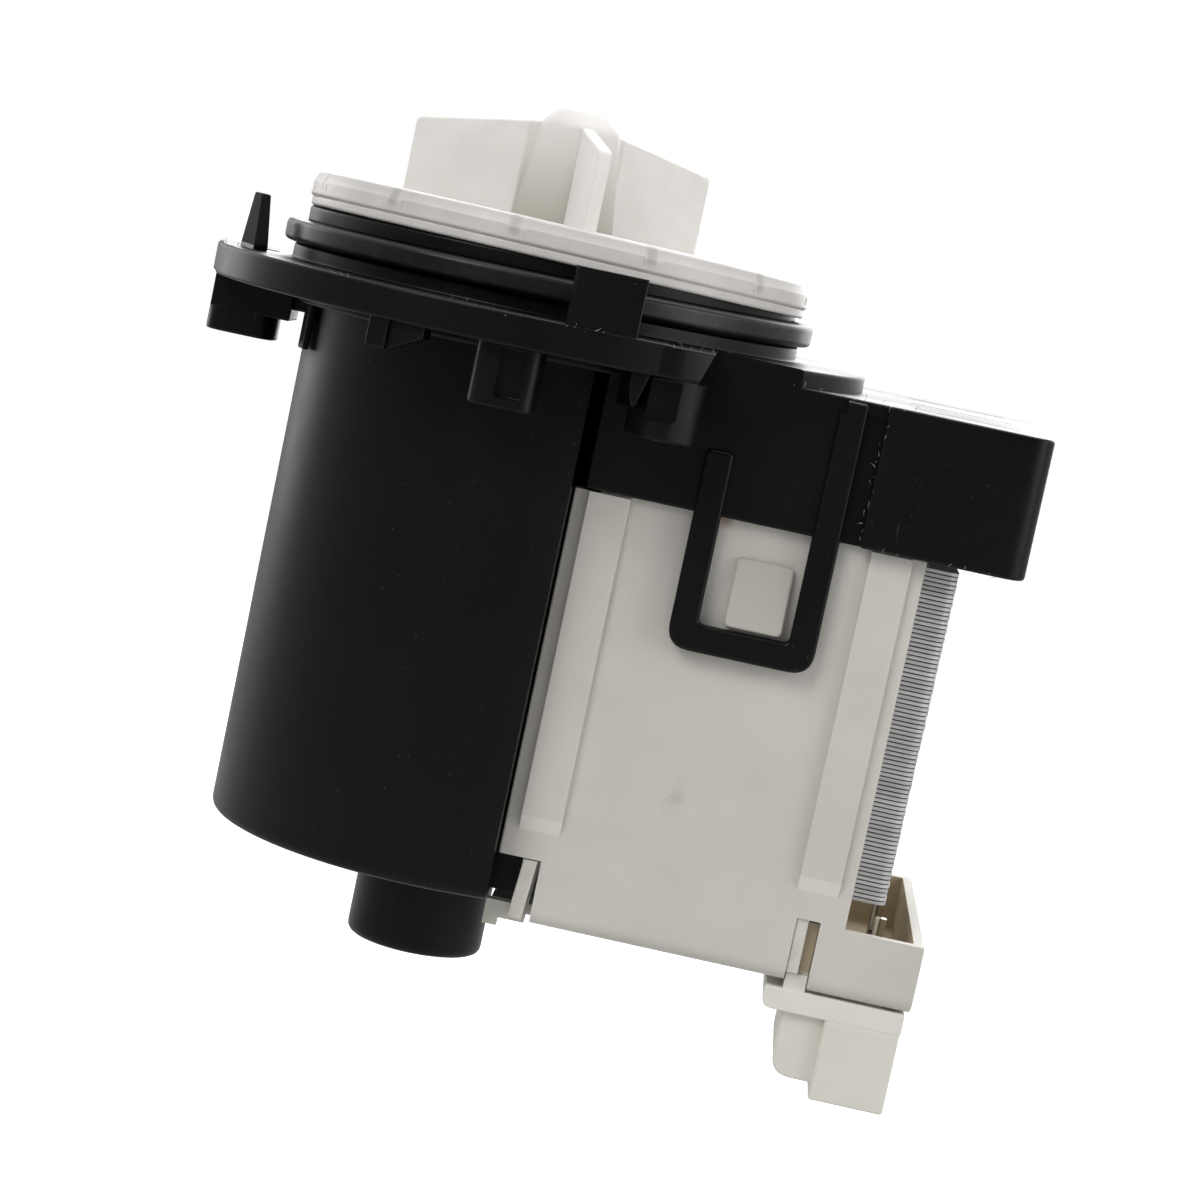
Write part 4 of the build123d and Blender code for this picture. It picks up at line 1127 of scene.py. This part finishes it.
# Coil ends
# The bared end of each coil wire, wrapped round its solder pin in the tray and soldered.
wrap_r = 0.85
wrap_wire_r = 0.24
wrap_z0 = -83.6
wrap_h = 3.2
wrap_turns = 5
turn_steps = 16
wrap_unevenness = 0.12
solder_finish = plain_finish("soldered_wire", (60, 54, 46), (150, 146, 138), 0.3, 0.7, 1500.0)
for wrap_name, wrap_y in zip(("near_wrap", "far_wrap"), blade_places):
    helix = bpy.data.curves.new(wrap_name, "CURVE")
    helix.dimensions = "3D"
    helix.bevel_depth = wrap_wire_r * 0.001
    helix.bevel_resolution = 2
    spline = helix.splines.new("POLY")
    steps = wrap_turns * turn_steps
    spline.points.add(steps)
    for step in range(steps + 1):
        angle = 2 * pi * step / turn_steps
        reach = wrap_r * (1.0 + wrap_unevenness * sin(step * 0.7))
        height = wrap_z0 + wrap_h * step / steps
        spot = (blade_x + reach * cos(angle), wrap_y + reach * sin(angle), height)
        spline.points[step].co = (*[part * 0.001 for part in spot], 1.0)
    holder = placed("holder", helix)
    wrap_mesh = as_mesh(holder)
    bpy.data.objects.remove(holder)
    wrap_mesh.materials.clear()
    wrap_mesh.materials.append(solder_finish)
    wrap = placed(wrap_name, wrap_mesh)
    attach(wrap, "pump")

# Studio
# A pale floor well under the pump, a white backdrop, and soft lamps above, below and all round.
# The pump hangs by its flange, as it does under the washer's sump.
floor_z = -0.224
floor_size = 30.0
paint = Finish("studio_floor")
paint.colour = paint.mix(paint.noise(2, 2, 0.5), (0.50, 0.50, 0.50), (0.54, 0.54, 0.54))
camera_ray = paint.node("LightPath", out="Is Camera Ray")
glow = paint.mix(camera_ray, (0.0, 0.0, 0.0), (0.80, 0.80, 0.80))
paint.coat(0.8, specular=0.1, more={"Emission Color": glow, "Emission Strength": 1.0})
floor_work = bmesh.new()
bmesh.ops.create_grid(floor_work, x_segments=8, y_segments=8, size=floor_size / 2)
bmesh.ops.translate(floor_work, verts=floor_work.verts, vec=(0, 0, floor_z))
studio_floor = placed("studio_floor", new_mesh(floor_work, "studio_floor"))
studio_floor.data.materials.append(paint.material)

# The backdrop behind the pump is white, the room round the camera is dark, and the fill is even.
world = bpy.data.worlds.new("studio")
world.use_nodes = True
bpy.context.scene.world = world
sky = Graph(world.node_tree)
direction = sky.node("TexCoord", out="Generated")
behind = sky.node("SeparateXYZ", {}, {0: direction}, out=1)
behind = sky.ramp(behind, -0.55, 0.45, 0.03, 1.0)
mirrored = sky.node("LightPath", out="Is Glossy Ray")
through = sky.node("LightPath", out="Is Transmission Ray")
gloss = {0: sky.maths("MAXIMUM", mirrored, through), 2: 0.42, 3: behind}
gloss = sky.node("Mix", {"data_type": "FLOAT"}, gloss)
strength = {0: sky.node("LightPath", out="Is Camera Ray"), 2: gloss, 3: 1.0}
strength = sky.node("Mix", {"data_type": "FLOAT"}, strength)
backdrop = sky.node("Background", {}, {"Color": (1.0, 1.0, 1.0), "Strength": strength})
sky.node("OutputWorld", {}, {"Surface": backdrop})


def lamp(name, place, size, watts):
    """A square soft lamp that faces the middle of the pump."""
    light = bpy.data.lights.new(name, "AREA")
    light.shape = "SQUARE"
    light.size = size
    light.energy = watts
    holder = placed(name, light)
    turn = (Vector(pump_middle) - Vector(place)).to_track_quat("-Z", "Y")
    holder.matrix_world = Matrix.Translation(place) @ turn.to_matrix().to_4x4()
    holder.visible_camera = False


pump_middle = (0.02, 0.0, -0.04)
lamp("key_lamp", (-0.55, -0.75, 0.75), 0.6, 6.5)
lamp("top_lamp", (0.15, 0.25, 1.0), 0.8, 5.0)
lamp("side_lamp", (0.85, -0.35, 0.2), 0.5, 3.0)
lamp("left_lamp", (-0.8, 0.72, 0.1), 0.5, 1.7)
lamp("rear_lamp", (0.15, 1.1, 0.3), 0.9, 8.0)
lamp("low_lamp", (0.15, -0.75, -0.5), 0.8, 2.6)
bpy.data.objects["low_lamp"].visible_glossy = False

# Camera
# It stands half a metre in front of the pump and looks down a little, rolled as the photo is.
camera_place = (0.035934, -0.492343, 0.014734)
camera_yaw = 0.040
camera_down = 0.112
camera_roll = 0.209
camera = placed("camera", bpy.data.cameras.new("camera"))
camera.data.sensor_width = 36.0
camera.data.lens = 99.108
camera.data.clip_start = 0.01
turn = Matrix.Rotation(camera_yaw, 4, "Z") @ Matrix.Rotation(pi / 2 - camera_down, 4, "X")
turn = turn @ Matrix.Rotation(camera_roll, 4, "Z")
camera.matrix_world = Matrix.Translation(camera_place) @ turn
bpy.context.scene.camera = camera
bpy.context.scene.view_settings.view_transform = "Standard"
